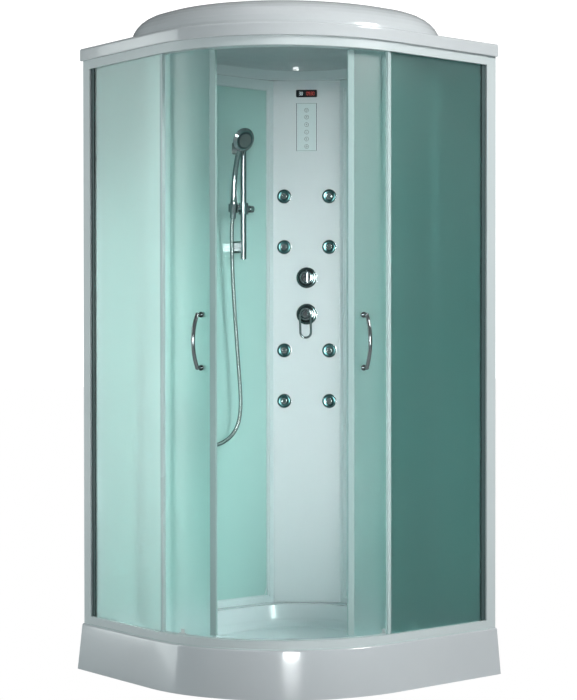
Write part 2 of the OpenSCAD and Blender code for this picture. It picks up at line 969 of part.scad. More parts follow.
// Lever with an open loop, hanging below its ball
module mixer_lever() {
  loop_w = 19;
  loop_bar = 4;
  loop_l = 86;
  loop_tilt = 10;
  color("silver")
    on_column(0, mixer_z)
      translate([0, 0, lever_ball_z]) {
        sphere(lever_ball_r);
        translate([0, 0, 14])
          rotate_extrude()
            polygon(concat([[0, 0], [13, 0]], arc_pts(9, 7, 4, 0, 90, 4), [[0, 11]]));
        translate([0, 0, 19])
          rotate([loop_tilt, 0, 0]) {
            for (s = [-1, 1])
              translate([s * loop_w, -loop_l + loop_w, 0])
                rotate([-90, 0, 0]) cylinder(r = loop_bar, h = loop_l - loop_w - 3);
            translate([0, -loop_l + loop_w, 0])
              rotate([0, 0, 180])
                rotate_extrude(angle = 180) translate([loop_w, 0]) circle(loop_bar);
            translate([-loop_w, -3, 0]) rotate([0, 90, 0]) cylinder(r = loop_bar, h = 2 * loop_w);
            for (s = [-1, 1]) translate([s * loop_w, -3, 0]) sphere(loop_bar);
          }
      }
}

module valve_body() {
  gap = diverter_z - mixer_z;
  color("goldenrod")
    difference() {
      union() {
        on_column(0, mixer_z) {
          translate([0, 0, -70]) cylinder(r = 24, h = 70 - column_t);
          translate([0, 0, -column_t]) cylinder(r = neck_r, h = column_t + rose_h - 1);
          translate([-inlet_u, 0, -inlet_d]) rotate([0, 90, 0]) cylinder(r = 11, h = 2 * inlet_u);
          translate([0, 0, -45]) rotate([-90, 0, 0]) cylinder(r = 10, h = gap);
        }
        on_column(0, diverter_z) {
          translate([0, 0, -62]) cylinder(r = 22, h = 62 - column_t);
          translate([0, 0, -column_t]) cylinder(r = neck_r, h = column_t + rose_h - 1);
        }
      }
      for (z = [mixer_z, diverter_z])
        on_column(0, z) translate([0, 0, -14]) cylinder(r = stem_r + shaft_fit, h = 40);
    }
}

// A pipe through a list of points, with round elbows
module pipe_run(points, r) {
  for (i = [0:len(points) - 2]) {
    d = points[i + 1] - points[i];
    translate(points[i])
      rotate([0, acos(d[2] / norm(d)), atan2(d[1], d[0])]) cylinder(r = r, h = norm(d));
    if (i > 0) translate(points[i]) sphere(r + 1);
  }
}

// Pipes behind the panel: two inlets, two jet risers, the overhead feed and the hand shower's feed
module supply_pipes() {
  riser_low = jet_heights[0] - 40;
  riser_high = jet_heights[3] + 40;
  feed_d = -45;
  rain_d = (face_c + rain_x) * sqrt(2);
  color("steelblue")
    difference() {
      union() {
        for (s = [-1, 1]) {
          on_column(s * inlet_u, inlet_low)
            translate([0, 0, -inlet_d]) rotate([-90, 0, 0]) cylinder(r = riser_r, h = mixer_z - inlet_low);
          on_column(s * inlet_u, inlet_low)
            translate([0, 0, -inlet_d]) {
              sphere(riser_r + 1);
              translate([0, 0, -thread_nut_h - 4]) cylinder(r = thread_nut_r, h = thread_nut_h, $fn = 6);
              translate([0, 0, -thread_nut_h - 4 - thread_l]) cylinder(r = thread_r, h = thread_l + 2);
            }
          on_column(s * jet_u, riser_low)
            translate([0, 0, -riser_d]) rotate([-90, 0, 0]) cylinder(r = riser_r, h = riser_high - riser_low);
        }
        on_column(-jet_u, diverter_z) translate([0, 0, -riser_d]) rotate([0, 90, 0]) cylinder(r = 7, h = 2 * jet_u);
        pipe_run([
          for (p = [
            [feed_d, diverter_z], [feed_d, fascia_high + 50], [40, dome_top + 14], [rain_d, dome_top + 14],
            [rain_d, dome_top + roof_t]
          ]) [p[0] / sqrt(2) - face_c, face_c - p[0] / sqrt(2), p[1]]
        ], riser_r);
        pipe_run([
          [-face_c - 28, face_c + 14, diverter_z], [hand_pipe_x, column_y + 14, diverter_z],
          [hand_pipe_x, column_y + 14, hand_pipe_z], [hand_pipe_x, outlet_y, hand_pipe_z]
        ], hand_pipe_r);
      }
      at_jets() translate([0, 0, -jet_tail - 5]) cylinder(r = 9, h = 10);
      on_column(0, diverter_z) translate([0, 0, -62]) cylinder(r = 22, h = 62);
      on_column(0, mixer_z) translate([-inlet_u, 0, -inlet_d]) rotate([0, 90, 0]) cylinder(r = 11, h = 2 * inlet_u);
    }
}

module outlet_elbow() {
  color("silver")
    difference() {
      union() {
        on_left_wall(outlet_y, hand_pipe_z) {
          cylinder(r1 = 26, r2 = 22, h = 6);
          cylinder(r = 12, h = outlet_x - wall_face);
          translate([0, 0, -pane_t - 1.2]) cylinder(r = 7.8, h = pane_t + 1.2);
        }
        translate([outlet_x, outlet_y, hand_pipe_z]) sphere(12);
        translate([outlet_x, outlet_y, hand_pipe_z - 26]) cylinder(r = 10.5, h = 26);
      }
      translate([outlet_x, outlet_y, hand_pipe_z - 27]) cylinder(r = hose_r + 0.3, h = 14);
    }
}

// Shower rail and hand shower

module shower_rail() {
  bracket_h = 42;
  color("silver") {
    translate([bar_x, rail_y, bar_z]) cylinder(r = bar_r, h = bar_l);
    for (z = [bar_z + 44, bar_z + bar_l - 44])
      on_left_wall(rail_y, z) plate(2 * bar_r + 2, bracket_h, 7, 0, rail_off);
  }
}

module slider() {
  h = 40;
  color("silver")
    difference() {
      union() {
        translate([bar_x, rail_y, slider_z - h / 2]) cylinder(r = 17, h = h);
        translate([bar_x, rail_y, slider_z]) rotate([-90, 0, 0]) cylinder(r = 10, h = 26);
        translate([bar_x, rail_y + 24, slider_z]) rotate([-90, 0, 0]) cylinder(r1 = 13, r2 = 12, h = 16);
        translate([bar_x, rail_y, slider_z]) rotate([90, 0, 0]) cylinder(r = 11, h = 24);
      }
      translate([bar_x, rail_y, slider_z - h]) cylinder(r = bar_r + shaft_fit, h = 2 * h);
      translate([bar_x, rail_y - 12, slider_z])
        rotate([90, 0, 0]) cylinder(r = holder_pin_r + shaft_fit, h = 20);
    }
}

// Frame of the hand shower: its origin at the holder's tilt axis, tilted into the cabin
module at_cradle() {
  translate([bar_x, cradle_y, slider_z]) rotate([0, cradle_tilt, 0]) translate([10, 0, 0]) children();
}

cone_low = 11.5;
cone_high = 13.5;
cone_h = 34;

module hand_shower_holder() {
  color("silver")
    difference() {
      union() {
        at_cradle() translate([0, 0, -14]) cylinder(r1 = 17, r2 = 19, h = 28);
        translate([bar_x, rail_y - 24 - fit, slider_z]) rotate([90, 0, 0]) cylinder(r = 10, h = 50 - 24 - fit);
        translate([bar_x, rail_y - 13, slider_z]) rotate([90, 0, 0]) cylinder(r = holder_pin_r, h = 20);
      }
      at_cradle() translate([0, 0, -17]) cylinder(r1 = cone_low, r2 = cone_high, h = cone_h);
      at_cradle() translate([0, -3, -20]) cube([40, 6, 50]);
    }
}

head_tilt = 110;
grip_sides = 24;
grip_steps = 14;

// Centre and radius of the curved handle at share t of its length
function grip_at(t) = [10 * pow(t, 4) - 34 * t * (1 - t), 0, 12 + grip_l * t];

function grip_r(t) = 12 - 10 * t * (1.15 - t);

module at_head() {
  at_cradle()
    translate([28, 0, grip_l + 36])
      rotate([0, head_tilt - cradle_tilt, 0]) children();
}

module hand_shower() {
  color("silver") {
    at_cradle() {
      rotate_extrude()
        polygon([
          [0, -36], [9.5, -36], [10.5, -34], [10.5, -17], [cone_low, -17], [cone_high, 17],
          [13, 21], [12, 22], [0, 22]
        ]);
      swept_tube([
        for (i = [0:grip_steps])
          let (t = i / grip_steps)
          ring_points(grip_at(t), grip_at(t + 0.01) - grip_at(t - 0.01), [0, 1, 0], grip_r(t), grip_sides)
      ], grip_sides);
    }
    at_head()
      rotate_extrude()
        polygon(concat(
          [[0, -25], [12, -24], [24, -20], [34, -13], [head_r - 2, -4]],
          arc_pts(head_r - 3, -1, 3, -30, 60, 4),
          [[plate_r + 3, 7], [plate_r, 7], [plate_r, 4], [0, 4]]
        ));
  }
}

module spray_face() {
  color("dimgray")
    at_head()
      difference() {
        rotate_extrude()
          polygon([[0, 4], [plate_r, 4], [plate_r, 7], [plate_r - 3, 8.5], [0, 9]]);
        for (ring = [[7, 6], [14, 12], [21, 18]], a = [0:360 / ring[1]:359])
          rotate([0, 0, a]) translate([ring[0], 0, 6.5]) cylinder(r = 1, h = 4, $fn = 16);
      }
}

// Route of the hanging hose, from the hand shower to the wall outlet
hose_route = [
  [-424, 84, 1528], [-429, 84, 1492], [-434, 88, 1400], [-436, 94, 1300], [-436, 101, 1200],
  [-436, 109, 1100], [-435, 117, 1000], [-434, 123, 920], [-434, 124, 860], [-434, 114, 805],
  [-434, 88, 765], [-436, 50, 740], [-438, 10, 730], [-439, -35, 733], [-440, -72, 750],
  [-440, -98, 785], [-440, -105, 822], [-440, -105, 846]
];
hose_ribs = 96;

// A smooth point on the route at parameter s, from 0 to the number of spans
function hose_at(s) =
  let (
    n = len(hose_route) - 1,
    i = min(floor(s), n - 1),
    t = s - i,
    p0 = hose_route[max(i - 1, 0)],
    p1 = hose_route[i],
    p2 = hose_route[i + 1],
    p3 = hose_route[min(i + 2, n)]
  )
  0.5 * ((2 * p1) + (p2 - p0) * t + (2 * p0 - 5 * p1 + 4 * p2 - p3) * t * t
    + (3 * p1 - p0 - 3 * p2 + p3) * t * t * t);

module hose() {
  sides = 8;
  spans = len(hose_route) - 1;
  rings = 2 * hose_ribs;
  color("silver")
    swept_tube([
      for (i = [0:rings])
        let (s = spans * i / rings)
        ring_points(
          hose_at(s), hose_at(min(s + 0.01, spans)) - hose_at(max(s - 0.01, 0)), [1, 0, 0],
          i % 2 == 0 ? hose_r : hose_r - 0.8, sides
        )
    ], sides);
}

// Roof

dome_foot = fascia_high - 6;

function dome_steps(inset) = concat(
  [[inset, dome_foot - inset]],
  [
    for (a = [0:10:90])
      [inset + dome_shoulder * (1 - cos(a)), dome_foot + (dome_top - inset - dome_foot) * sin(a)]
  ]
);

mouth_steps = [[0, frame_top - 1], [0, frame_top + 3], [28, dome_foot + 1]];

module roof_shell() {
  color("white")
    difference() {
      union() {
        front_sweep()
          polygon(concat(
            [[0, fascia_low], [fascia_r - 2, fascia_low]],
            [[fascia_r, fascia_low + 2]],
            arc_pts(fascia_r - 8, fascia_high - 8, 8, 0, 90, 6),
            [[0, fascia_high]]
          ));
        corner_block(0, fascia_low, fascia_high);
        cushion(dome_steps(0), dome_r, dome_corner_r, dome_back_r, dome_wall);
      }
      front_sweep(-1)
        polygon([
          [0, fascia_low - 1], [rail_r + 2, fascia_low - 1], [rail_r + 2, frame_top], [0, frame_top]
        ]);
      corner_block(-1, fascia_low - 1, frame_top);
      cushion(mouth_steps, mouth_r, mouth_corner_r, mouth_back_r, mouth_wall);
      cushion(dome_steps(roof_t), dome_r, dome_corner_r, dome_back_r, dome_wall);
      on_column(0, frame_top - 1)
        translate([0, 0, -45]) rotate([-90, 0, 0]) cylinder(r = riser_r + 1, h = fascia_h + 10);
      translate([rain_x, -rain_x, dome_top - roof_t - 1]) cylinder(r = 12, h = roof_t + 2);
      for (a = [0:30:330])
        translate([fan_x, -fan_x, dome_top - roof_t - 1])
          rotate([0, 0, a]) translate([fan_r * 0.45, -2, 0]) cube([fan_r * 0.35, 4, roof_t + 2]);
    }
}

module rain_head() {
  color("silver")
    translate([rain_x, -rain_x, ceiling - 34])
      difference() {
        union() {
          rotate_extrude()
            polygon(concat(
              [[0, 0], [rain_r - 4, 0], [rain_r, 3], [rain_r, 6]],
              [[rain_r - 6, 10], [30, 16], [0, 16]]
            ));
          cylinder(r = 11.9, h = 34 + roof_t);
          translate([0, 0, 29]) cylinder(r = 26, h = 5);
        }
        translate([0, 0, 10]) cylinder(r = riser_r, h = 40);
      }
}

module fan_housing() {
  depth = 38;
  color("white")
    translate([fan_x, -fan_x, ceiling - depth]) {
      difference() {
        union() {
          cylinder(r = fan_r, h = depth);
          cylinder(r = fan_r + 8, h = 3);
        }
        translate([0, 0, -1]) cylinder(r = fan_r - 4, h = depth + 2);
      }
      for (r = [16, 30, 44])
        difference() {
          cylinder(r = r + 1.5, h = 3);
          translate([0, 0, -1]) cylinder(r = r - 1.5, h = 5);
        }
      for (a = [0:45:315]) rotate([0, 0, a]) translate([14, -1.5, 0]) cube([fan_r - 16, 3, 3]);
      for (a = [0:120:240])
        rotate([0, 0, a]) translate([10, -2, depth - 5]) cube([fan_r - 12, 4, 5]);
      translate([0, 0, depth - 16]) cylinder(r = 13, h = 16);
      translate([0, 0, depth - 26]) cylinder(r = 3, h = 12);
    }
}

module fan_rotor() {
  depth = 38;
  color("dimgray")
    translate([fan_x, -fan_x, ceiling - depth])
      difference() {
        union() {
          translate([0, 0, 8]) cylinder(r = 13, h = 13);
          intersection() {
            for (a = [0:360 / 7:359])
              rotate([0, 0, a]) translate([10, 0, 14]) rotate([35, 0, 0]) translate([0, -9, -0.8]) cube([fan_r, 18, 1.6]);
            translate([0, 0, 6]) cylinder(r = fan_r - 7, h = 15);
          }
        }
        translate([0, 0, 7]) cylinder(r = 3 + shaft_fit, h = 30);
      }
}

module ceiling_light() {
  color("ivory")
    translate([light_x, -light_x, ceiling - 18])
      rotate_extrude()
        polygon(concat(
          [[0, 0], [20, 0]], arc_pts(26, 12, 12, -80, 0, 5), [[44, 12], [46, 14], [46, 18], [0, 18]]
        ));
}

tray();
tray_frame();
tray_feet();
drain_cover();
waste_trap();
lower_rail();
upper_rail();
left_post();
right_post();
left_fixed_glass();
right_fixed_glass();
fixed_glass_gaskets();
pane_edge_channels();
left_door_glass();
left_door_handle();
left_door_seals();
left_door_carriages();
right_door_glass();
right_door_handle();
right_door_seals();
right_door_carriages();
left_lead_roller();
left_trail_roller();
right_lead_roller();
right_trail_roller();
left_wall_frame();
right_wall_frame();
left_wall_glass();
right_wall_glass();
column_panel();
control_panel();
display_window();
jet_bezels();
jet_bodies();
jet_nozzle_1();
jet_nozzle_2();
jet_nozzle_3();
jet_nozzle_4();
jet_nozzle_5();
jet_nozzle_6();
jet_nozzle_7();
jet_nozzle_8();
valve_roses();
diverter_knob();
mixer_dome();
mixer_lever();
valve_body();
supply_pipes();
outlet_elbow();
shower_rail();
slider();
hand_shower_holder();
hand_shower();
spray_face();
hose();
roof_shell();
rain_head();
fan_housing();
fan_rotor();
ceiling_light();
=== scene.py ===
"""Looks of a quadrant shower cabin: finishes, hose, keypad, small trim and the studio."""

import logging
import math
from dataclasses import dataclass, replace
from enum import Enum

import bmesh
import bpy
from bpy.types import ID, Material, Mesh, Node, NodeOutputs, NodeTree, Object, World
from bpy.types import NodeSocket as Socket
from mathutils import Matrix, Vector


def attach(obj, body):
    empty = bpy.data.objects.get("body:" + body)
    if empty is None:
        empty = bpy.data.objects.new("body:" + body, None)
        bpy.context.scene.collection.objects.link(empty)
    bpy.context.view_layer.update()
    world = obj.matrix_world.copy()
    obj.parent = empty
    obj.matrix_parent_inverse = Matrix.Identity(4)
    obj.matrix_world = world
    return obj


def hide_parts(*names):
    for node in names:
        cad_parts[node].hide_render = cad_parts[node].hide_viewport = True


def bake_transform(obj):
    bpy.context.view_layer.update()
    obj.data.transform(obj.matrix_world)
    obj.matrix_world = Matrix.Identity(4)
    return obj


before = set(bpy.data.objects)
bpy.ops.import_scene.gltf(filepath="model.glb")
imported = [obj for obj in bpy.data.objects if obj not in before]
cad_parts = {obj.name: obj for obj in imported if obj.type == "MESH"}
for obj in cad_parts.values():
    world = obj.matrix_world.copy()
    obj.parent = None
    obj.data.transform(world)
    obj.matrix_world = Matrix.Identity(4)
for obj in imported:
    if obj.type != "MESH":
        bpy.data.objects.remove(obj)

LOG = logging.getLogger("shower_cabin")
MM = 0.001
Colour = tuple[float, float, float]
Point = tuple[float, float, float]
Flat = tuple[float, float]
Spot = tuple[Vector, Vector]
Profile = tuple[Flat, ...]
Rings = tuple[tuple[float, int], ...]
Tree = tuple[NodeTree, dict[str, str]]


class Texture(Enum):
    """How a finish's fine texture runs over its surface."""

    GRAIN = "even grain"
    DIMPLES = "small round dimples"
    BRUSHED = "fine lines along Z"


class Body(Enum):
    """The bodies that pieces of this file ride on, apart from the numbered nozzles."""

    CABIN = "cabin"
    LEFT_DOOR = "left_door"
    RIGHT_DOOR = "right_door"
    SLIDER = "rail_slider"
    HOLDER = "holder"


class Side(Enum):
    """The two halves of the cabin, on either side of the plan's diagonal."""

    LEFT = "left"
    RIGHT = "right"

    def place(self, x: float, y: float, z: float) -> Vector:
        """A point of the left half, in mm, or its mirror image on the right, in metres."""
        return Vector((x, y, z) if self is Side.LEFT else (-y, -x, z)) * MM

    @property
    def door(self) -> Body:
        """The body of this half's sliding door."""
        return Body.LEFT_DOOR if self is Side.LEFT else Body.RIGHT_DOOR


def polar(r: float, angle: float, x: float = 0.0, y: float = 0.0) -> Flat:
    """The point at a radius and an angle in radians round a centre."""
    return x + r * math.cos(angle), y + r * math.sin(angle)


def arc(x: float, y: float, r: float, start: float, end: float, steps: int) -> list[Flat]:
    """Points along an arc round a centre, from its first to its last angle in degrees."""
    return [polar(r, math.radians(start + (end - start) * i / steps), x, y)
            for i in range(steps + 1)]


def facing(spot: Matrix) -> Vector:
    """The way a frame's Z axis points."""
    return (spot.to_3x3() @ Vector((0, 0, 1))).normalized()


def ring_spots(spot: Matrix, rings: Rings, aim: Vector) -> list[Spot]:
    """Spots round a frame's Z axis, in rings of a radius in mm and a count, with one aim."""
    return [(spot @ Vector((*polar(r * MM, 2 * math.pi * k / count), 0)), aim)
            for r, count in rings for k in range(count)]


def add_object(name: str, data: ID) -> Object:
    """Links a new object with the given data to the scene."""
    made = bpy.data.objects.new(name, data)
    bpy.context.scene.collection.objects.link(made)
    return made


def aimed(thing: Object, place: Point, way: Vector) -> None:
    """Sets a light or a camera in its place, turned the given way."""
    thing.location = place
    thing.rotation_euler = way.to_track_quat("-Z", "Y").to_euler()


def to_mesh(name: str, solid: bmesh.types.BMesh) -> Mesh:
    """Keeps a closed solid as a mesh whose faces point outwards, and frees it."""
    bmesh.ops.recalc_face_normals(solid, faces=solid.faces)
    mesh = bpy.data.meshes.new(name)
    solid.to_mesh(mesh)
    solid.free()
    return mesh


def turned(name: str, profile: Profile, sides: int) -> Mesh:
    """A smooth closed solid turned about Z from a profile.

    Args:
        name: the mesh's name.
        profile: radius and height of each point, in mm. It starts and ends on the axis,
            or ends where it starts.
        sides: number of sides.

    Returns:
        The mesh, in metres.
    """
    solid = bmesh.new()
    rings = [
        [solid.verts.new((*polar(r * MM, 2 * math.pi * k / sides), z * MM))
         for k in range(sides if r else 1)]
        for r, z in profile
    ]
    for low, high in zip(rings, rings[1:]):
        for k in range(sides):
            corners = [
                low[k % len(low)], low[(k + 1) % len(low)],
                high[(k + 1) % len(high)], high[k % len(high)],
            ]
            solid.faces.new(list(dict.fromkeys(corners))).smooth = True
    bmesh.ops.remove_doubles(solid, verts=solid.verts, dist=1e-7)
    return to_mesh(name, solid)


# The Mix node's sockets for plain values and for colours, by number.
VALUE_A, VALUE_B, VALUE_OUT = 2, 3, 0
COLOUR_A, COLOUR_B, COLOUR_OUT = 6, 7, 2


@dataclass
class Graph:
    """A node tree with short calls for adding joined nodes."""

    tree: NodeTree

    @staticmethod
    def of(owner: Material | World) -> "Graph":
        """The emptied node tree of a material or a world."""
        owner.use_nodes = True
        owner.node_tree.nodes.clear()
        return Graph(owner.node_tree)

    def add(self, kind: str, entries: dict[str | int, object] | None = None,
            **settings: object) -> Node:
        """Adds one node.

        Args:
            kind: the node's type name.
            entries: for its inputs, by name or number, a plain value or the output that feeds it.
            settings: attributes to set on it.

        Returns:
            The new node.
        """
        node = self.tree.nodes.new(kind)
        for name, value in settings.items():
            setattr(node, name, value)
        for key, value in (entries or {}).items():
            if isinstance(value, Socket):
                self.tree.links.new(value, node.inputs[key])
            else:
                node.inputs[key].default_value = value
        return node

    def math(self, operation: str, *terms: object) -> Socket:
        """Adds a math node on plain values or outputs, and returns its result."""
        return self.add("ShaderNodeMath", dict(enumerate(terms)), operation=operation).outputs[0]

    def blend(self, share: Socket, first: object, second: object) -> Socket:
        """Adds a mix of two colours, and returns its result."""
        colours = {"Factor": share, COLOUR_A: first, COLOUR_B: second}
        return self.add("ShaderNodeMix", colours, data_type="RGBA").outputs[COLOUR_OUT]

    def by_ray(self, ray: str, other: Socket, chosen: Socket) -> Socket:
        """Adds a shader that is chosen for one kind of ray and other for the rest."""
        path = self.add("ShaderNodeLightPath")
        mix = self.add("ShaderNodeMixShader", {0: path.outputs[ray], 1: other, 2: chosen})
        return mix.outputs["Shader"]


def new_group(name: str, kind: str, entries: dict[str, str], results: dict[str, str]) -> tuple[
        Graph, NodeOutputs, dict[str, str]]:
    """Starts a node group.

    Args:
        name: the group's name.
        kind: the tree's type name.
        entries: each input's socket type.
        results: each output's socket type.

    Returns:
        The group's graph, its inputs as sockets to join, and each input's identifier.
    """
    tree = bpy.data.node_groups.new(name, kind)
    keys = {}
    for way, sockets in (("INPUT", entries), ("OUTPUT", results)):
        for label, socket in sockets.items():
            made = tree.interface.new_socket(
                name=label, in_out=way, socket_type="NodeSocket" + socket)
            if way == "INPUT":
                keys[label] = made.identifier
    g = Graph(tree)
    return g, g.add("NodeGroupInput").outputs, keys


class SharedGroups:
    """Shader node groups that more than one finish uses, each built once."""

    def __init__(self) -> None:
        """Builds every group."""
        self.cloud = self._cloud()
        self.grain = self._grain()
        self.film = self._film()

    @staticmethod
    def _cloud() -> NodeTree:
        """A wide, soft mottling that blends two colours and moves the roughness."""
        g, entry, _ = new_group("cloud", "ShaderNodeTree", {
            "Scale": "Float", "Light": "Color", "Deep": "Color",
            "Smooth": "Float", "Rough": "Float",
        }, {"Colour": "Color", "Roughness": "Float"})
        cloud = g.add("ShaderNodeTexNoise", {
            "Vector": g.add("ShaderNodeTexCoord").outputs["Object"], "Scale": entry["Scale"],
            "Detail": 3.0,
        }).outputs["Fac"]
        span = g.add("ShaderNodeMapRange", {
            "Value": cloud, "From Min": 0.3, "From Max": 0.7,
            "To Min": entry["Smooth"], "To Max": entry["Rough"],
        })
        g.add("NodeGroupOutput", {
            "Colour": g.blend(cloud, entry["Light"], entry["Deep"]),
            "Roughness": span.outputs["Result"],
        })
        return g.tree

    @staticmethod
    def _grain() -> NodeTree:
        """Fine heights for a bump: grain or dimples, which a stretch along Z turns into lines."""
        g, entry, _ = new_group("grain", "ShaderNodeTree", {
            "Scale": "Float", "Stretch": "Float", "Dimples": "Float",
        }, {"Height": "Float"})
        stretch = g.add("ShaderNodeCombineXYZ", {"X": 1.0, "Y": 1.0, "Z": entry["Stretch"]})
        place = g.add("ShaderNodeVectorMath", {
            0: g.add("ShaderNodeTexCoord").outputs["Object"], 1: stretch.outputs["Vector"],
        }, operation="MULTIPLY")
        spread = {"Vector": place.outputs["Vector"], "Scale": entry["Scale"]}
        noise = g.add("ShaderNodeTexNoise", {**spread, "Detail": 2.0})
        cells = g.add("ShaderNodeTexVoronoi", spread, feature="SMOOTH_F1")
        mix = g.add("ShaderNodeMix", {
            "Factor": entry["Dimples"],
            VALUE_A: noise.outputs["Fac"], VALUE_B: cells.outputs["Distance"],
        }, data_type="FLOAT")
        g.add("NodeGroupOutput", {"Height": mix.outputs[VALUE_OUT]})
        return g.tree

    @staticmethod
    def _film() -> NodeTree:
        """A faint film of dried water that lightens a colour in patches."""
        g, entry, _ = new_group("water_film", "ShaderNodeTree", {
            "Colour": "Color", "Film": "Color", "Amount": "Float",
        }, {"Result": "Color"})
        noise = g.add("ShaderNodeTexNoise", {
            "Vector": g.add("ShaderNodeTexCoord").outputs["Object"], "Scale": 9.0, "Detail": 5.0,
        })
        span = g.add("ShaderNodeMapRange", {
            "Value": noise.outputs["Fac"], "From Min": 0.48, "From Max": 0.8,
        })
        share = g.math("MULTIPLY", span.outputs["Result"], entry["Amount"])
        g.add("NodeGroupOutput", {"Result": g.blend(share, entry["Colour"], entry["Film"])})
        return g.tree


BRUSHED_STRETCH = 0.02
FILM_GAIN = 1.25
# EDGE_BLEND and EDGE_SHADE darken a finish's colour where its surface turns away from the view:
# painted dark reflection at the edges of metal parts.
EDGE_BLEND = 0.45
EDGE_SHADE = (0.015, 0.025, 0.025, 1)


@dataclass(frozen=True)
class Finish:
    """One surface finish, made as a procedural material.

    Colours are linear. Scales are in cycles per metre and heights in metres.
    """

    name: str
    slot: str
    light: Colour
    deep: Colour
    smooth: float
    rough: float
    metallic: float = 0.0
    mottle: float = 4.0
    texture: Texture = Texture.GRAIN
    grain: float = 700.0
    height: float = 0.00002
    film: float = 0.0
    coat: float = 0.0
    coat_rough: float = 0.04
    clear: float = 0.0
    ior: float = 1.5
    lamp_tint: Colour | None = None
    glow: float = 0.0
    # How strongly the colour darkens towards grazing view: painted dark reflection, not the metal's
    # own colour.
    painted_grazing_shade: float = 0.0

    def build(self, groups: SharedGroups) -> Material:
        """Makes the material.

        Args:
            groups: the shared shader groups.

        Returns:
            The finished material.
        """
        material = bpy.data.materials.new(self.name)
        g = Graph.of(material)
        cloud = g.add("ShaderNodeGroup", {
            "Scale": self.mottle, "Light": (*self.light, 1), "Deep": (*self.deep, 1),
            "Smooth": self.smooth, "Rough": self.rough,
        }, node_tree=groups.cloud)
        colour = cloud.outputs["Colour"]
        if self.film:
            pale = (*(min(1, FILM_GAIN * c) for c in self.light), 1)
            colour = g.add("ShaderNodeGroup", {
                "Colour": colour, "Film": pale, "Amount": self.film,
            }, node_tree=groups.film).outputs["Result"]
        # Painted dark reflection: the colour blends towards EDGE_SHADE where the surface is seen at
        # a slant.
        if self.painted_grazing_shade:
            slant = g.add("ShaderNodeLayerWeight", {"Blend": EDGE_BLEND})
            share = g.math("MULTIPLY", slant.outputs["Facing"], self.painted_grazing_shade)
            colour = g.blend(share, colour, EDGE_SHADE)
        grain = g.add("ShaderNodeGroup", {
            "Scale": self.grain,
            "Stretch": BRUSHED_STRETCH if self.texture is Texture.BRUSHED else 1.0,
            "Dimples": 1.0 if self.texture is Texture.DIMPLES else 0.0,
        }, node_tree=groups.grain)
        bump = g.add("ShaderNodeBump", {
            "Strength": 1.0, "Distance": self.height, "Height": grain.outputs["Height"],
        })
        surface = g.add("ShaderNodeBsdfPrincipled", {
            "Base Color": colour, "Roughness": cloud.outputs["Roughness"],
            "Normal": bump.outputs["Normal"], "Metallic": self.metallic, "IOR": self.ior,
            "Coat Weight": self.coat, "Coat Roughness": self.coat_rough,
            "Transmission Weight": self.clear,
            **({"Emission Color": colour, "Emission Strength": self.glow} if self.glow else {}),
        }).outputs["BSDF"]
        if self.lamp_tint:
            lamp_side = g.add("ShaderNodeBsdfTransparent", {"Color": (*self.lamp_tint, 1)})
            surface = g.by_ray("Is Shadow Ray", surface, lamp_side.outputs["BSDF"])
        g.add("ShaderNodeOutputMaterial", {"Surface": surface})
        return material


ACRYLIC = Finish("acrylic_white", "acrylic", (0.66, 0.7, 0.72), (0.61, 0.66, 0.69), 0.1, 0.18,
                 coat=0.5, film=0.05, height=0.00001)
ROOF_ABS = Finish("roof_white", "acrylic", (0.66, 0.7, 0.72), (0.61, 0.655, 0.675), 0.12, 0.2,
                  coat=0.4)
COATED = Finish("coated_profile", "frame_white", (0.66, 0.73, 0.74), (0.6, 0.68, 0.69), 0.28, 0.4,
                grain=2400.0, height=0.00002)
FROSTED = Finish("frosted_pane", "frosted_glass", (0.72, 0.88, 0.86), (0.68, 0.85, 0.83), 0.3, 0.38,
                 texture=Texture.DIMPLES, grain=260.0, height=0.00025, coat=0.2, coat_rough=0.34,
                 clear=0.97, ior=1.45, lamp_tint=(0.93, 0.975, 0.97))
# A darker copy of the frosted glass for the right fixed pane: its darkness is painted shade, and
# the glass is the same as on the left.
SHADE_PAINTED_PANE = replace(FROSTED, name="painted_shade_pane", light=(0.24, 0.43, 0.415), deep=(0.22, 0.4, 0.385),
                 coat=0.1)
BACK_PANE = Finish("back_pane", "back_glass", (0.4, 0.6, 0.57), (0.37, 0.57, 0.54), 0.08, 0.14,
                   coat=0.3, height=0.000005)
COLUMN = Finish("column_white", "column_abs", (0.7, 0.74, 0.76), (0.66, 0.71, 0.73), 0.16, 0.26,
                coat=0.2)
CHROME = Finish("chrome", "chrome_trim", (0.78, 0.8, 0.81), (0.7, 0.73, 0.74), 0.04, 0.1,
                metallic=1.0, height=0.000002, painted_grazing_shade=1.0)
# Dark teal copy of chrome for the jet bezels: the dark teal colour is painted reflection of the
# cabin's teal glass, not a different metal.
JET_CHROME_PAINTED_REFLECTION = replace(CHROME, name="jet_chrome_painted_reflection", light=(0.06, 0.13, 0.13), deep=(0.035, 0.09, 0.09),
                     smooth=0.14, rough=0.24, painted_grazing_shade=0.8)
# Darker copy of chrome for the valve roses: the dark colour is painted reflection, not a different
# metal.
VALVE_CHROME_PAINTED_REFLECTION = replace(CHROME, name="valve_chrome_painted_reflection", light=(0.12, 0.16, 0.16),
                       deep=(0.08, 0.12, 0.12), smooth=0.05, rough=0.12, painted_grazing_shade=0.9)
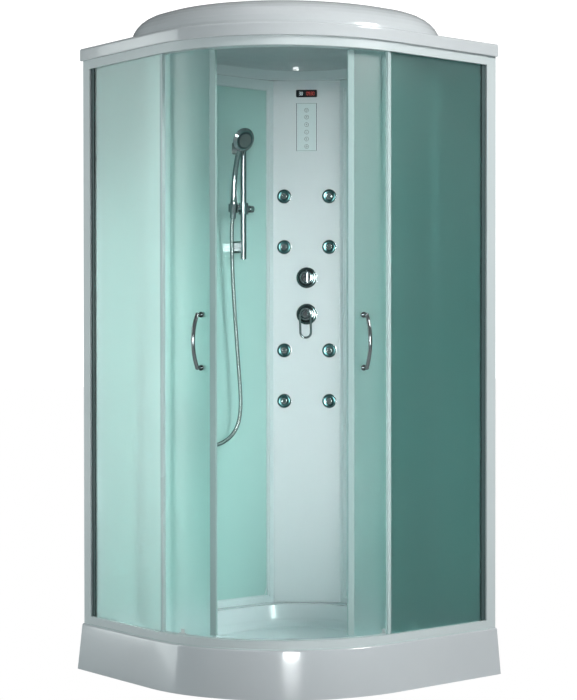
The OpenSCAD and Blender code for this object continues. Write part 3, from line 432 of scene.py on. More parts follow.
# Darker copy of chrome for the handles, knobs, rail and outlet: the darker colour is painted
# reflection, not a different metal.
CHROME_PAINTED_DARK_REFLECTION = replace(CHROME, name="handle_chrome", slot="handle_chrome", light=(0.4, 0.44, 0.45),
                      deep=(0.31, 0.35, 0.36), smooth=0.06, rough=0.12, painted_grazing_shade=1.3)
PLATED = Finish("plated_plastic", "chrome_plastic", (0.5, 0.55, 0.56), (0.4, 0.46, 0.47),
                0.06, 0.14, metallic=1.0, height=0.000003, painted_grazing_shade=1.3)
HOSE_METAL = Finish("hose_metal", "hose_metal", (0.5, 0.54, 0.54), (0.38, 0.42, 0.42), 0.14, 0.24,
                    metallic=1.0, mottle=40.0, painted_grazing_shade=1.3)
GASKET = Finish("dark_gasket", "dark_gasket", (0.06, 0.105, 0.105), (0.045, 0.085, 0.085),
                0.45, 0.6, grain=1800.0)
SEAL = Finish("soft_seal", "white_seal", (0.36, 0.5, 0.49), (0.31, 0.45, 0.44), 0.3, 0.42,
              grain=1500.0)
EDGE = Finish("pale_channel", "white_seal", (0.5, 0.62, 0.62), (0.45, 0.57, 0.57), 0.25, 0.38,
              grain=1500.0)
WHITE = Finish("white_plastic", "white_plastic", (0.78, 0.8, 0.8), (0.74, 0.76, 0.76), 0.2, 0.3,
               coat=0.2)
NYLON = Finish("roller_nylon", "roller_nylon", (0.8, 0.79, 0.74), (0.76, 0.75, 0.7), 0.35, 0.5)
KEYPAD = Finish("keypad_film", "keypad", (0.63, 0.72, 0.73), (0.6, 0.7, 0.71), 0.3, 0.4,
                grain=3000.0)
INK = Finish("keypad_ink", "keypad", (0.03, 0.06, 0.065), (0.02, 0.05, 0.055), 0.45, 0.55)
DISPLAY = Finish("display_black", "display", (0.008, 0.014, 0.018), (0.005, 0.009, 0.012),
                 0.05, 0.09, coat=0.6)
NOZZLE = Finish("nozzle_teal", "nozzle_rubber", (0.01, 0.045, 0.047), (0.006, 0.03, 0.033),
                0.3, 0.42)
GREY = Finish("grey_plastic", "grey_body", (0.11, 0.12, 0.125), (0.09, 0.1, 0.105), 0.4, 0.55)
ZINC = Finish("zinc_steel", "zinc_steel", (0.42, 0.45, 0.47), (0.3, 0.33, 0.35), 0.35, 0.5,
              metallic=1.0, mottle=30.0, texture=Texture.BRUSHED)
RUBBER = Finish("feet_rubber", "rubber_feet", (0.02, 0.02, 0.02), (0.014, 0.014, 0.014), 0.6, 0.75)
TRAP = Finish("trap_plastic", "white_trap", (0.72, 0.72, 0.7), (0.67, 0.67, 0.65), 0.4, 0.5)
BRASS = Finish("valve_brass", "brass_valve", (0.56, 0.38, 0.14), (0.44, 0.29, 0.1), 0.3, 0.45,
               metallic=1.0, mottle=30.0)
PIPE = Finish("pipe_blue", "blue_pipe", (0.03, 0.11, 0.34), (0.025, 0.09, 0.3), 0.4, 0.5)
PLATE = Finish("spray_plate", "spray_plate", (0.03, 0.05, 0.052), (0.02, 0.038, 0.04), 0.35, 0.5)
NIBS = Finish("spray_nibs", "spray_plate", (0.75, 0.82, 0.82), (0.68, 0.76, 0.76), 0.4, 0.55)
JET_NIBS = Finish("jet_nibs", "nozzle_rubber", (0.06, 0.13, 0.13), (0.04, 0.1, 0.1), 0.4, 0.55)
LIT_WHITE = Finish("lit_white", "display", (0.75, 0.85, 0.9), (0.7, 0.8, 0.86), 0.3, 0.4, glow=0.6)
LIT_RED = Finish("lit_red", "display", (0.75, 0.08, 0.06), (0.7, 0.07, 0.05), 0.3, 0.4, glow=0.5)
LENS = Finish("lamp_lens", "lamp_lens", (0.9, 0.89, 0.84), (0.86, 0.85, 0.8), 0.3, 0.4, glow=0.2)
SILICONE = Finish("silicone_bead", "white_seal", (0.6, 0.7, 0.7), (0.55, 0.66, 0.66), 0.2, 0.3)


class Workshop:
    """The finishes and the node trees, and the pieces that they make."""

    head_foot: float = 0.4
    head_shape: Profile = (
        (1.0, 0.25), (0.9, 0.42), (0.62, 0.56), (0.42, 0.58), (0.4, 0.2), (0.0, 0.2),
    )
    head_sides: int = 12

    def __init__(self) -> None:
        """Builds the shared groups and both geometry nodes trees."""
        self.groups = SharedGroups()
        self.made: dict[str, Material] = {}
        self.sweeper = self._sweep_tree()
        self.scatterer = self._scatter_tree()

    def paint(self, finish: Finish) -> Material:
        """The finish's material, made once."""
        if finish.name not in self.made:
            self.made[finish.name] = finish.build(self.groups)
        return self.made[finish.name]

    def dress(self, looks: dict[Finish, list[str]]) -> None:
        """Puts each finish on the frame's own parts that are listed for it."""
        for finish, names in looks.items():
            for name in names:
                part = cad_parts[name]
                if not part.material_slots:
                    part.data.materials.append(self.paint(finish))
                for place in part.material_slots:
                    place.material = self.paint(finish)
                LOG.info("%s is finished in %s", name, finish.name)

    def piece(self, name: str, mesh: Mesh, finish: Finish,
              body: str | None = Body.CABIN.value) -> Object:
        """Links a finished mesh as a piece of the cabin.

        Args:
            name: the piece's name.
            mesh: its mesh, in place.
            finish: the piece's finish.
            body: name of the body it rides on, or None for a piece that bends between two.

        Returns:
            The piece.
        """
        piece = add_object(name, mesh)
        mesh.materials.clear()
        mesh.materials.append(self.paint(finish))
        if body:
            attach(piece, body)
        LOG.info("%s has %d faces", name, len(mesh.polygons))
        return piece

    @staticmethod
    def _end(g: Graph, shape: Socket, finish: Socket) -> NodeTree:
        """Ends a geometry nodes tree: its shape gets smooth shading, real copies and a finish."""
        smooth = g.add("GeometryNodeSetShadeSmooth", {"Geometry": shape})
        real = g.add("GeometryNodeRealizeInstances", {"Geometry": smooth.outputs["Geometry"]})
        paint = g.add("GeometryNodeSetMaterial", {
            "Geometry": real.outputs["Geometry"], "Material": finish,
        })
        g.add("NodeGroupOutput", {"Geometry": paint.outputs["Geometry"]})
        return g.tree

    def _sweep_tree(self) -> Tree:
        """The tree that sweeps a round section along a line, ribbed if its dip is over zero."""
        g, entry, keys = new_group("sweep", "GeometryNodeTree", {
            "Geometry": "Geometry", "Radius": "Float", "Rib": "Float", "Dip": "Float",
            "Step": "Float", "Sides": "Int", "Finish": "Material",
        }, {"Geometry": "Geometry"})
        curve = g.add("GeometryNodeMeshToCurve", {"Mesh": entry["Geometry"]})
        fine = g.add("GeometryNodeResampleCurve", {
            "Curve": curve.outputs["Curve"], "Length": entry["Step"],
        }, mode="LENGTH")
        along = g.add("GeometryNodeSplineParameter").outputs["Length"]
        angle = g.math("MULTIPLY", g.math("DIVIDE", along, entry["Rib"]), 2 * math.pi)
        low = g.math("MULTIPLY_ADD", g.math("COSINE", angle), 0.5, -0.5)
        ring = g.add("GeometryNodeCurvePrimitiveCircle", {
            "Resolution": entry["Sides"], "Radius": 1.0,
        })
        tube = g.add("GeometryNodeCurveToMesh", {
            "Curve": fine.outputs["Curve"], "Profile Curve": ring.outputs["Curve"],
            "Scale": g.math("MULTIPLY_ADD", low, entry["Dip"], entry["Radius"]),
            "Fill Caps": True,
        })
        return self._end(g, tube.outputs["Mesh"], entry["Finish"]), keys

    def _scatter_tree(self) -> Tree:
        """The tree that places a small part on each point, turned to the point's aim."""
        g, entry, keys = new_group("scatter", "GeometryNodeTree", {
            "Geometry": "Geometry", "Part": "Object", "Finish": "Material",
        }, {"Geometry": "Geometry"})
        part = g.add("GeometryNodeObjectInfo", {"Object": entry["Part"]})
        aim = g.add("GeometryNodeInputNamedAttribute", {"Name": "aim"}, data_type="FLOAT_VECTOR")
        aim = aim.outputs["Attribute"]
        turn = g.add("FunctionNodeAlignRotationToVector", {"Vector": aim}, axis="Z")
        copies = g.add("GeometryNodeInstanceOnPoints", {
            "Points": entry["Geometry"], "Instance": part.outputs["Geometry"],
            "Rotation": turn.outputs["Rotation"],
        })
        return self._end(g, copies.outputs["Instances"], entry["Finish"]), keys

    def run(self, name: str, base: Mesh, tree: Tree, values: dict[str, object],
            finish: Finish, body: str | None) -> Object:
        """Runs a tree on a base mesh and links the result as a piece with a plain mesh.

        Args:
            name: the piece's name.
            base: the mesh that the tree starts from.
            tree: the tree, with the identifiers of its inputs.
            values: the value of each input but the finish.
            finish: the piece's finish.
            body: name of the body it rides on, or None.

        Returns:
            The piece.
        """
        maker = add_object(name + "_maker", base)
        live = maker.modifiers.new("making", "NODES")
        live.node_group, keys = tree
        for label, value in (values | {"Finish": self.paint(finish)}).items():
            live[keys[label]] = value
        bpy.context.view_layer.update()
        graph = bpy.context.evaluated_depsgraph_get()
        mesh = bpy.data.meshes.new_from_object(
            maker.evaluated_get(graph), preserve_all_data_layers=True, depsgraph=graph)
        mesh.name = name
        maker.modifiers.clear()
        bpy.data.objects.remove(maker)
        return self.piece(name, mesh, finish, body)

    def sweep(self, name: str, line: list[Vector], radius: float, finish: Finish = SILICONE,
              body: str | None = Body.CABIN.value, sides: int = 8, step: float = 8.0,
              rib: float = 1.0, dip: float = 0.0, closed: bool = False) -> Object:
        """Makes a piece with a round section along a line, such as a bead of sealant.

        Args:
            name: the piece's name.
            line: points of the line, in metres.
            radius: the section's radius, in mm.
            finish: its finish.
            body: name of the body it rides on, or None for a piece that bends between two.
            sides: number of sides of the section.
            step: length of one step along the line, in mm.
            rib: length of one rib, in mm.
            dip: depth between two ribs, in mm.
            closed: whether the line returns to its start.

        Returns:
            The piece.
        """
        edges = [(i, i + 1) for i in range(len(line) - 1)]
        base = bpy.data.meshes.new(name + "_line")
        base.from_pydata([tuple(p) for p in line], edges + [(len(line) - 1, 0)] * closed, [])
        return self.run(name, base, self.sweeper, {
            "Radius": radius * MM, "Rib": rib * MM, "Dip": dip * MM, "Step": step * MM,
            "Sides": sides,
        }, finish, body)

    def scatter(self, name: str, profile: Profile, spots: list[Spot], finish: Finish,
                body: str = Body.CABIN.value, sides: int = 8) -> None:
        """Makes a piece of copies of one small turned part.

        Args:
            name: the piece's name.
            profile: the part's profile, which stands on the origin and points up, in mm.
            spots: each copy's place, in metres, and the way it points.
            finish: their finish.
            body: name of the body that carries them.
            sides: the part's number of sides.
        """
        pattern = add_object(name + "_part", turned(name + "_part", profile, sides))
        base = bpy.data.meshes.new(name + "_spots")
        base.from_pydata([tuple(place) for place, _ in spots], [], [])
        aims = base.attributes.new("aim", "FLOAT_VECTOR", "POINT")
        for i, (_, aim) in enumerate(spots):
            aims.data[i].vector = aim
        self.run(name, base, self.scatterer, {"Part": pattern}, finish, body)
        bpy.data.objects.remove(pattern)

    def screws(self, name: str, spots: list[Spot], finish: Finish, body: Body,
               head_r: float = 4.0) -> None:
        """Places round screw heads with a recess.

        Args:
            name: the piece's name.
            spots: place and direction of each head.
            finish: their finish.
            body: the body that carries them.
            head_r: radius of a head, in mm.
        """
        profile = (
            (0, -self.head_foot), (head_r, -self.head_foot),
            *((r * head_r, z * head_r) for r, z in self.head_shape),
        )
        self.scatter(name, profile, spots, finish, body.value, self.head_sides)


@dataclass
class Tray:
    """The acrylic tray with its frame, feet, waste and the sealant under the bottom rail."""

    centre: Flat = (-60.0, 60.0)
    rail_r: float = 536.0
    top: float = 150.0
    bead: float = 2.4
    gap: float = 0.4
    wall_end: float = 460.0
    steps: int = 30

    def bead_line(self) -> list[Vector]:
        """The line round the bottom rail's outer foot, in metres."""
        x, y = self.centre
        r = self.rail_r + self.gap
        curve = arc(x, y, r, -90, 0, self.steps)
        line = [(-self.wall_end, y - r), *curve, (x + r, self.wall_end)]
        return [Vector((*spot, self.top + self.gap)) * MM for spot in line]

    def build(self, shop: Workshop) -> None:
        """Dresses the tray's parts and lays the sealant."""
        shop.dress({
            ACRYLIC: ["tray"], CHROME: ["drain_cover"], ZINC: ["tray_frame"],
            RUBBER: ["tray_feet"], TRAP: ["waste_trap"],
        })
        shop.sweep("rail_sealant", self.bead_line(), self.bead)


@dataclass
class FrontFrame:
    """Rails, posts and fixed panes of the front."""

    screw_x: float = -460.0
    screw_y: float = -445.0
    heights: tuple[float, ...] = (260.0, 1090.0, 1920.0)

    def build(self, shop: Workshop) -> None:
        """Dresses the frame and sets the posts' screws."""
        shop.dress({
            COATED: ["lower_rail", "upper_rail", "left_post", "right_post"],
            # The right fixed pane takes the darker copy of the frosted glass: painted shade.
            FROSTED: ["left_fixed_glass"], SHADE_PAINTED_PANE: ["right_fixed_glass"],
            GASKET: ["fixed_glass_gaskets"], EDGE: ["pane_edge_channels"],
        })
        spots = [
            (side.place(self.screw_x, self.screw_y, z), side.place(1, 0, 0).normalized())
            for side in Side for z in self.heights
        ]
        shop.screws("post_screws", spots, CHROME, Body.CABIN)


@dataclass
class Door:
    """One curved sliding door with its handle, seals, rollers and guides."""

    side: Side
    open: float
    centre: Flat = (-60.0, 60.0)
    inner: float = 497.0
    post_l: float = 5.1
    axle_end: float = 483.0
    roller_z: float = 2017.3
    rollers: Flat = (6.5, 29.5)
    handle: float = 6.2
    handle_z: float = 1097.0
    handle_l: float = 165.0
    axle_head: float = 3.6
    handle_head: float = 5.0

    def spot(self, t: float, r: float, z: float) -> Spot:
        """A place on the door.

        Args:
            t: degrees back from the closed leading edge.
            r: distance from the arc's centre, in mm.
            z: height, in mm.

        Returns:
            The place, in metres, and the way into the cabin there.
        """
        angle = math.radians(-45 - t - self.open)
        place = self.side.place(*polar(r, angle, *self.centre), z)
        return place, (self.side.place(*self.centre, z) - place).normalized()

    def build(self, shop: Workshop) -> None:
        """Dresses the door and adds its screws."""
        name = self.side.value
        shop.dress({
            FROSTED: [f"{name}_door_glass"], CHROME_PAINTED_DARK_REFLECTION: [f"{name}_door_handle"],
            SEAL: [f"{name}_door_seals"], WHITE: [f"{name}_door_carriages"],
            NYLON: [f"{name}_lead_roller", f"{name}_trail_roller"],
        })
        ends = [self.spot(t, self.axle_end, self.roller_z) for t in self.rollers]
        shop.screws(f"{name}_axle_screws", ends, ZINC, self.side.door, self.axle_head)
        grips = [
            self.spot(self.handle, self.inner - self.post_l, self.handle_z + s * self.handle_l / 2)
            for s in (-1, 1)
        ]
        shop.screws(f"{name}_handle_screws", grips, CHROME, self.side.door, self.handle_head)


@dataclass
class BackWalls:
    """The two glazed back walls and the strips that hold their panes."""

    glass_x: float = -482.5
    y: Flat = (-415.0, 277.0)
    z: Flat = (173.0, 2003.0)
    strip: float = 2.2
    inset: float = 0.8
    step: float = 40.0

    def build(self, shop: Workshop) -> None:
        """Dresses the walls and lays the glazing strips."""
        i = self.inset * self.strip
        (y0, y1), (z0, z1) = self.y, self.z
        corners = ((y0 + i, z0 + i), (y1 - i, z0 + i), (y1 - i, z1 - i), (y0 + i, z1 - i))
        for side in Side:
            name = side.value
            shop.dress({COATED: [f"{name}_wall_frame"], BACK_PANE: [f"{name}_wall_glass"]})
            line = [side.place(self.glass_x + i, *corner) for corner in corners]
            shop.sweep(f"{name}_wall_strip", line, self.strip, step=self.step, closed=True)


@dataclass
class Keypad:
    """The column's face: where things stand on it, the keypad's print and the display."""

    centre: float = 382.5
    key_heights: tuple[float, ...] = (1930.0, 1905.0, 1878.0, 1851.0, 1826.0, 1799.0)
    key_r: float = 7.2
    key_arc: tuple[float, float, int] = (0.0, 345.0, 23)
    stroke: float = 1.15
    rise: float = 0.2
    proud: float = 2.2
    plate: tuple[float, float, float, float] = (1869.0, 37.0, 86.0, 3.0)
    outlines: Flat = (0.0, 1.3)
    display_z: float = 1990.0
    display_face: float = 3.0
    figure: tuple[float, float, float] = (5.2, 11.0, 2.4)
    bar_gap: float = 0.6
    dot: float = 0.4

    def frame_at(self, across: float, height: float, out: float) -> Matrix:
        """The frame on the face: X to the right, Y up, Z out of the face.

        Args:
            across: place to the right of the face's middle, in mm.
            height: height above the floor, in mm.
            out: distance out of the face, in mm.

        Returns:
            The frame's matrix, in metres.
        """
        side = 1 / math.sqrt(2)
        spot = Vector((
            (across + out) * side - self.centre, self.centre + (across - out) * side, height,
        )) * MM
        turn = Matrix(((side, 0, side), (side, 0, -side), (0, 1, 0))).to_4x4()
        return Matrix.Translation(spot) @ turn

    def ribbon(self, mesh: bmesh.types.BMesh, points: list[Flat], closed: bool,
               spot: Matrix) -> None:
        """Adds one flat printed stroke along points on the face.

        Args:
            mesh: the mesh that gets the stroke.
            points: points of the stroke's middle, in mm.
            closed: whether the last point joins the first.
            spot: the frame that the points lie in.
        """
        count = len(points)
        half = self.stroke / 2
        rails = []
        for i, (x, y) in enumerate(points):
            before = points[(i - 1) % count] if closed or i else points[i]
            after = points[(i + 1) % count] if closed or i < count - 1 else points[i]
            along = Vector((after[0] - before[0], after[1] - before[1])).normalized()
            across = Vector((-along.y, along.x)) * half
            rails.append([
                mesh.verts.new(spot @ (Vector((x + s * across.x, y + s * across.y, z)) * MM))
                for s, z in ((1, 0), (1, self.rise), (-1, self.rise), (-1, 0))
            ])
        for i in range(count if closed else count - 1):
            a, b = rails[i], rails[(i + 1) % count]
            for k in range(4):
                mesh.faces.new((a[k], a[(k + 1) % 4], b[(k + 1) % 4], b[k]))
        if not closed:
            mesh.faces.new(rails[0][::-1])
            mesh.faces.new(rails[-1])

    def signs(self) -> list[list[list[Flat]]]:
        """The strokes of the six keys' plain signs: fan, lamp, plus, minus, sound and on."""
        fan = [
            arc(*polar(1.6, a), 1.6, math.degrees(a) - 90, math.degrees(a) + 90, 6)
            for a in (0.5, 2.6, 4.7)
        ]
        lamp = [arc(0, 0.8, 2.2, -60, 240, 10), [(-1, -2.4), (1, -2.4)]]
        minus = [(-2.6, 0), (2.6, 0)]
        plus = [minus, [(0, -2.6), (0, 2.6)]]
        sound = [[(x, -y), (x, y)] for x, y in ((-2.4, 1.6), (-0.4, 2.8), (1.8, 1))]
        power = [arc(0, 0, 2.6, 120, 420, 12), [(0, 0.4), (0, 3.4)]]
        return [fan, lamp, plus, [minus], sound, power]

    def keys(self, shop: Workshop) -> None:
        """Prints the six keys and the plate's thin outline."""
        mesh = bmesh.new()
        height, wide, high, out = self.plate
        for inset in self.outlines:
            w, h = wide - inset, high - inset
            corners = [(-w, -h), (w, -h), (w, h), (-w, h)]
            self.ribbon(mesh, corners, True, self.frame_at(0, height, out))
        for height, sign in zip(self.key_heights, self.signs()):
            spot = self.frame_at(0, height, self.proud)
            self.ribbon(mesh, arc(0, 0, self.key_r, *self.key_arc), True, spot)
            for points in sign:
                self.ribbon(mesh, points, False, spot)
        shop.piece("keypad_signs", to_mesh("keypad_signs", mesh), INK)

    def digits(self, shop: Workshop, name: str, text: str, left: float, finish: Finish) -> None:
        """Lights a plain number on the display, in seven-bar figures.

        Args:
            shop: finishes and node trees.
            name: the piece's name.
            text: the figures and the point.
            left: place of the first figure's left side, in mm.
            finish: the bars' finish.
        """
        w, h, gap = self.figure
        bars = {
            "a": (0, h, w, h), "b": (w, h, w, h / 2), "c": (w, h / 2, w, 0), "d": (0, 0, w, 0),
            "e": (0, h / 2, 0, 0), "f": (0, h, 0, h / 2), "g": (0, h / 2, w, h / 2),
        }
        lit = {"0": "abcdef", "3": "abgcd", "8": "abcdefg", "9": "abcdfg"}
        mesh = bmesh.new()
        x = left
        for figure in text:
            point = figure == "."
            base = x - gap / 2 if point else x
            spot = self.frame_at(base, self.display_z - h / 2, self.display_face)
            if point:
                self.ribbon(mesh, [(-self.dot, 0), (self.dot, 0)], False, spot)
                continue
            for key in lit[figure]:
                x0, y0, x1, y1 = bars[key]
                share = self.bar_gap / math.hypot(x1 - x0, y1 - y0)
                dx, dy = share * (x1 - x0), share * (y1 - y0)
                self.ribbon(mesh, [(x0 + dx, y0 + dy), (x1 - dx, y1 - dy)], False, spot)
            x += w + gap
        shop.piece(name, to_mesh(name, mesh), finish)

    def build(self, shop: Workshop) -> None:
        """Finishes the face and prints what stands on it."""
        shop.dress({
            COLUMN: ["column_panel"], KEYPAD: ["control_panel"], DISPLAY: ["display_window"],
        })
        self.keys(shop)
        self.digits(shop, "display_heat", "38", -27.0, LIT_WHITE)
        self.digits(shop, "display_time", "09.30", 0.0, LIT_RED)


@dataclass
class Valves:
    """The body jets, the mixer and the diverter on the column's face."""

    face: Keypad
    jet_u: float = 82.0
    jet_heights: tuple[float, ...] = (879.0, 1062.0, 1436.0, 1619.0)
    jet_face: float = 9.5
    jet_r: float = 25.0
    jet_ring: Profile = (
        (8.4, -0.2), (9.6, -0.2), (9.6, 0.5), (9.3, 0.8), (8.7, 0.8), (8.4, 0.5), (8.4, -0.2),
    )
    nib: Profile = ((0, -0.3), (1.5, -0.3), (1.2, 0.9), (0.6, 1.1), (0.5, 0.2), (0, 0.2))
    nib_ring: tuple[float, int] = (6.4, 6)
    rose_r: float = 37.0
    rose_heights: Flat = (1193.0, 1325.0)
    rim: Profile = (
        (-0.6, -0.2), (1.1, -0.2), (1.2, 0.6), (0.8, 1.2), (0.2, 1.4), (-0.6, 1.2), (-0.6, -0.2),
    )
    ring_sides: int = 32
    rim_sides: int = 48

    def jets(self) -> list[Flat]:
        """Place across the face and height of each jet."""
        return [(across, height) for height in self.jet_heights
                for across in (-self.jet_u, self.jet_u)]

    def nozzles(self, shop: Workshop) -> None:
        """Adds a trim ring and soft nibs to each nozzle's face."""
        for number, (across, height) in enumerate(self.jets(), 1):
            body = f"nozzle_{number}"
            shop.dress({NOZZLE: [f"jet_nozzle_{number}"]})
            spot = self.face.frame_at(across, height, self.jet_face)
            spots = ring_spots(spot, (self.nib_ring,), facing(spot))
            shop.scatter(f"jet_nibs_{number}", self.nib, spots, JET_NIBS, body)
            ring = turned(f"jet_ring_{number}", self.jet_ring, self.ring_sides)
            ring.transform(spot)
            shop.piece(f"jet_ring_{number}", ring, CHROME, body)

    def rims(self, shop: Workshop, name: str, r: float, places: list[Flat]) -> None:
        """Lays a thin bright rim round the foot of each round trim.

        Args:
            shop: the finishes and node trees.
            name: the piece's name.
            r: radius of the trim, in mm.
            places: place across the face and height of each.
        """
        profile = tuple((r + u, z) for u, z in self.rim)
        frames = [self.face.frame_at(*place, 0.0) for place in places]
        spots = [(spot.to_translation(), facing(spot)) for spot in frames]
        shop.scatter(name, profile, spots, CHROME, sides=self.rim_sides)

    def build(self, shop: Workshop) -> None:
        """Dresses the jets and valves and adds their trim."""
        shop.dress({
            JET_CHROME_PAINTED_REFLECTION: ["jet_bezels"], GREY: ["jet_bodies"], VALVE_CHROME_PAINTED_REFLECTION: ["valve_roses"],
            CHROME_PAINTED_DARK_REFLECTION: ["diverter_knob", "mixer_dome", "mixer_lever"], BRASS: ["valve_body"],
        })
        self.nozzles(shop)
        self.rims(shop, "rose_rims", self.rose_r, [(0.0, height) for height in self.rose_heights])
        self.rims(shop, "jet_rims", self.jet_r, self.jets())


@dataclass
class Hose:
    """The ribbed metal hose from the hand shower to the wall outlet."""

    radius: float = 7.0
    rib: float = 4.4
    dip: float = 0.7
    sides: int = 14
    span_steps: int = 10
    still_z: float = 870.0
    moved_z: float = 1490.0
    route: tuple[Point, ...] = (
        (-424, 84, 1528), (-429, 84, 1492), (-434, 88, 1400), (-436, 94, 1300), (-436, 101, 1200),
        (-436, 109, 1100), (-435, 117, 1000), (-434, 123, 920), (-434, 124, 860), (-434, 114, 805),
        (-434, 88, 765), (-436, 50, 740), (-438, 10, 730), (-439, -35, 733), (-440, -72, 750),
        (-440, -98, 785), (-440, -105, 822), (-440, -105, 846),
    )

    def centreline(self) -> list[Vector]:
        """Points of the smooth centreline through the route, its ends included, in metres."""
        spots = [Vector(p) * MM for p in self.route]
        line = []
        for i in range(len(spots) - 1):
            p0, p1 = spots[max(i - 1, 0)], spots[i]
            p2, p3 = spots[i + 1], spots[min(i + 2, len(spots) - 1)]
            for k in range(self.span_steps):
                t = k / self.span_steps
                square = (2 * p0 - 5 * p1 + 4 * p2 - p3) * t * t
                cube = (3 * p1 - p0 - 3 * p2 + p3) * t ** 3
                line.append(0.5 * (2 * p1 + (p2 - p0) * t + square + cube))
        return line + [spots[-1]]

    def build(self, shop: Workshop) -> None:
        line = self.centreline()
        hose = shop.sweep("shower_hose", line, self.radius, HOSE_METAL, None, self.sides,
                          self.rib / 4, self.rib, self.dip)
        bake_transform(hose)
        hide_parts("hose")


@dataclass
class HandShower:
    """The rail, its slider and holder, the hand shower and the wall outlet."""

    place: Point = (-428.5, 84.0, 1565.0)
    lean: float = 8.0
    head_tilt: float = 110.0
    head: Point = (38.0, 0.0, 241.0)
    face: float = 9.0
    rings: Rings = ((7.0, 6), (14.0, 12), (21.0, 18))
    nib: Profile = ((0, -0.6), (1.7, -0.6), (1.3, 1.2), (0.9, 1.5), (0.7, 0.4), (0, 0.4))

    def plate_frame(self) -> Matrix:
        """The frame on the hand shower's spray plate, Z out of it, in metres."""
        return (
            Matrix.Translation(Vector(self.place) * MM)
            @ Matrix.Rotation(math.radians(self.lean), 4, "Y")
            @ Matrix.Translation(Vector(self.head) * MM)
            @ Matrix.Rotation(math.radians(self.head_tilt - self.lean), 4, "Y")
            @ Matrix.Translation((0, 0, self.face * MM))
        )

    def build(self, shop: Workshop) -> None:
        """Dresses the shower set and adds the soft spray nibs."""
        shop.dress({
            CHROME_PAINTED_DARK_REFLECTION: ["shower_rail", "outlet_elbow"],
            PLATED: ["slider", "hand_shower_holder", "hand_shower"], PLATE: ["spray_face"],
        })
        plate = self.plate_frame()
        spots = ring_spots(plate, self.rings, facing(plate))
        shop.scatter("spray_nibs", self.nib, spots, NIBS, Body.HOLDER.value)


@dataclass
class Roof:
    """The domed roof with its overhead shower, fan and lamp, and the pipes behind the column."""

    rain: Point = (-110.0, 110.0, 2120.0)
    rings: Rings = (
        (12.0, 6), (26.0, 12), (40.0, 18), (54.0, 24), (68.0, 30), (82.0, 36),
    )
    nib: Profile = ((0, -0.6), (2.0, -0.6), (1.5, 1.6), (0.8, 1.9), (0, 1.9))

    def build(self, shop: Workshop) -> None:
        """Dresses the roof's parts and the pipes and sets the overhead shower's nibs."""
        shop.dress({
            ROOF_ABS: ["roof_shell"], CHROME: ["rain_head"], WHITE: ["fan_housing"],
            GREY: ["fan_rotor"], LENS: ["ceiling_light"], PIPE: ["supply_pipes"],
        })
        middle = Matrix.Translation(Vector(self.rain) * MM)
        spots = ring_spots(middle, self.rings, Vector((0, 0, -1)))
        shop.scatter("rain_nibs", self.nib, spots, NIBS)


@dataclass(frozen=True)
class SoftBox:
    """One rectangular soft box. A small spread, in degrees, is a box with a grid."""

    name: str
    place: Point
    aim: Point
    size: Flat
    watts: float
    tint: Colour = (1.0, 1.0, 1.0)
    spread: float = 180.0

    def build(self) -> None:
        """Sets up the box."""
        light = bpy.data.lights.new(self.name, "AREA")
        light.spread = math.radians(self.spread)
        light.shape = "RECTANGLE"
        light.size, light.size_y = self.size
        light.energy = self.watts
        light.color = self.tint
        aimed(add_object(self.name, light), self.place, Vector(self.aim) - Vector(self.place))


SOFT_BOXES = (
    SoftBox("key", (4.3, 1.35, 3.9), (0.2, 0.05, 1.3), (1.2, 1.2), 150, (1.0, 0.99, 0.97)),
    SoftBox("doorway", (3.05, -2.3, 1.25), (-0.39, 0.39, 1.15), (0.7, 1.8), 3.1, (0.97, 1.0, 1.0),
            20.0),
    SoftBox("top", (0.6, -0.6, 4.6), (0, 0, 1.5), (2.0, 2.0), 8),
    SoftBox("left", (-3.2, -3.6, 1.35), (-0.2, -0.46, 1.1), (2.4, 3.0), 77, (0.93, 1.0, 0.99)),
    SoftBox("back", (-3.9, 3.7, 1.9), (-0.3, 0.3, 1.0), (2.0, 2.0), 36),
)


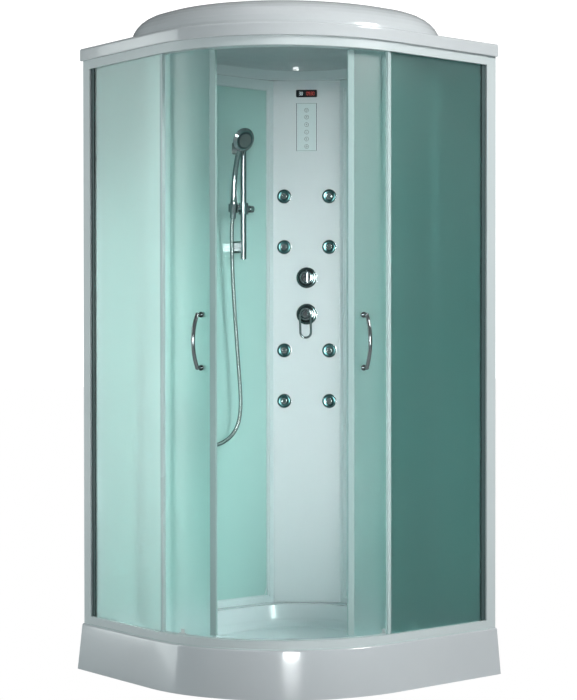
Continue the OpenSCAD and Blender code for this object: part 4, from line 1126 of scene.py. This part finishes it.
@dataclass
class Studio:
    """Floor, background light, soft boxes and the camera at the photograph's place."""

    place: Point = (4.6252, -3.5528, 1.1072)
    turn: float = 138.8
    pitch: float = -0.74
    focal: float = 1756.4
    middle: Flat = (400.0, 360.6)
    picture: Flat = (577.0, 700.0)
    sensor: float = 36.0
    far: float = 100.0
    bright_side: Point = (0.62, 0.2, 0.76)
    dim_room: Colour = (0.1, 0.12, 0.125)
    bright_room: Colour = (0.8, 0.83, 0.85)
    room_strength: float = 0.38
    backdrop: float = 1.2
    floor_side: float = 30.0
    floor_tone: Colour = (0.6, 0.61, 0.62)
    floor_rough: float = 0.7

    def camera(self) -> None:
        """Sets up the camera, with the lens shift that the photograph's framing needs."""
        wide, high = self.picture
        lens = bpy.data.cameras.new("camera")
        lens.sensor_width = self.sensor
        lens.lens = self.focal * self.sensor / high
        lens.shift_x = (wide / 2 - self.middle[0]) / high
        lens.shift_y = (self.middle[1] - high / 2) / high
        lens.clip_end = self.far
        camera = add_object("camera", lens)
        pitch = math.radians(self.pitch)
        level = polar(math.cos(pitch), math.radians(self.turn))
        aimed(camera, self.place, Vector((*level, math.sin(pitch))))
        bpy.context.scene.camera = camera
        bpy.context.scene.view_settings.view_transform = "Standard"

    def world(self) -> None:
        """White behind the object, and a softer graded room in reflections."""
        world = bpy.data.worlds.new("room")
        bpy.context.scene.world = world
        g = Graph.of(world)
        facing_light = g.add("ShaderNodeVectorMath", {
            0: g.add("ShaderNodeTexCoord").outputs["Generated"], 1: self.bright_side,
        }, operation="DOT_PRODUCT")
        lift = g.add("ShaderNodeMapRange", {
            "Value": facing_light.outputs["Value"], "From Min": -0.5, "From Max": 1.0,
        })
        ramp = g.add("ShaderNodeValToRGB", {"Fac": lift.outputs["Result"]})
        for end, tone in zip(ramp.color_ramp.elements, (self.dim_room, self.bright_room)):
            end.color = (*tone, 1)
        room = g.add("ShaderNodeBackground", {
            "Color": ramp.outputs["Color"], "Strength": self.room_strength,
        })
        white = g.add("ShaderNodeBackground", {"Color": (1, 1, 1, 1), "Strength": self.backdrop})
        g.add("ShaderNodeOutputWorld", {
            "Surface": g.by_ray("Is Camera Ray", room.outputs[0], white.outputs[0]),
        })

    def floor(self) -> None:
        """Lays the plain pale floor."""
        mesh = bpy.data.meshes.new("floor")
        s = self.floor_side
        mesh.from_pydata([(-s, -s, 0), (s, -s, 0), (s, s, 0), (-s, s, 0)], [], [(0, 1, 2, 3)])
        floor = add_object("floor", mesh)
        paint = bpy.data.materials.new("floor_paint")
        g = Graph.of(paint)
        surface = g.add("ShaderNodeBsdfPrincipled", {
            "Base Color": (*self.floor_tone, 1), "Roughness": self.floor_rough,
        })
        pale = g.add("ShaderNodeEmission", {"Color": (1, 1, 1, 1), "Strength": 1.0})
        g.add("ShaderNodeOutputMaterial", {
            "Surface": g.by_ray("Is Camera Ray", surface.outputs[0], pale.outputs[0]),
        })
        mesh.materials.append(paint)

    def build(self) -> None:
        """Builds the whole studio."""
        self.camera()
        self.world()
        self.floor()
        for box in SOFT_BOXES:
            box.build()


def main() -> None:
    """Builds the studio and the cabin."""
    logging.basicConfig(level=logging.INFO)
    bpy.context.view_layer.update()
    Studio().build()
    shop = Workshop()
    face = Keypad()
    assemblies = (
        Hose(), Tray(), FrontFrame(), Door(Side.LEFT, 20.0), Door(Side.RIGHT, 28.0), BackWalls(),
        face, Valves(face), HandShower(), Roof(),
    )
    for assembly in assemblies:
        assembly.build(shop)


if __name__ == "__main__":
    main()
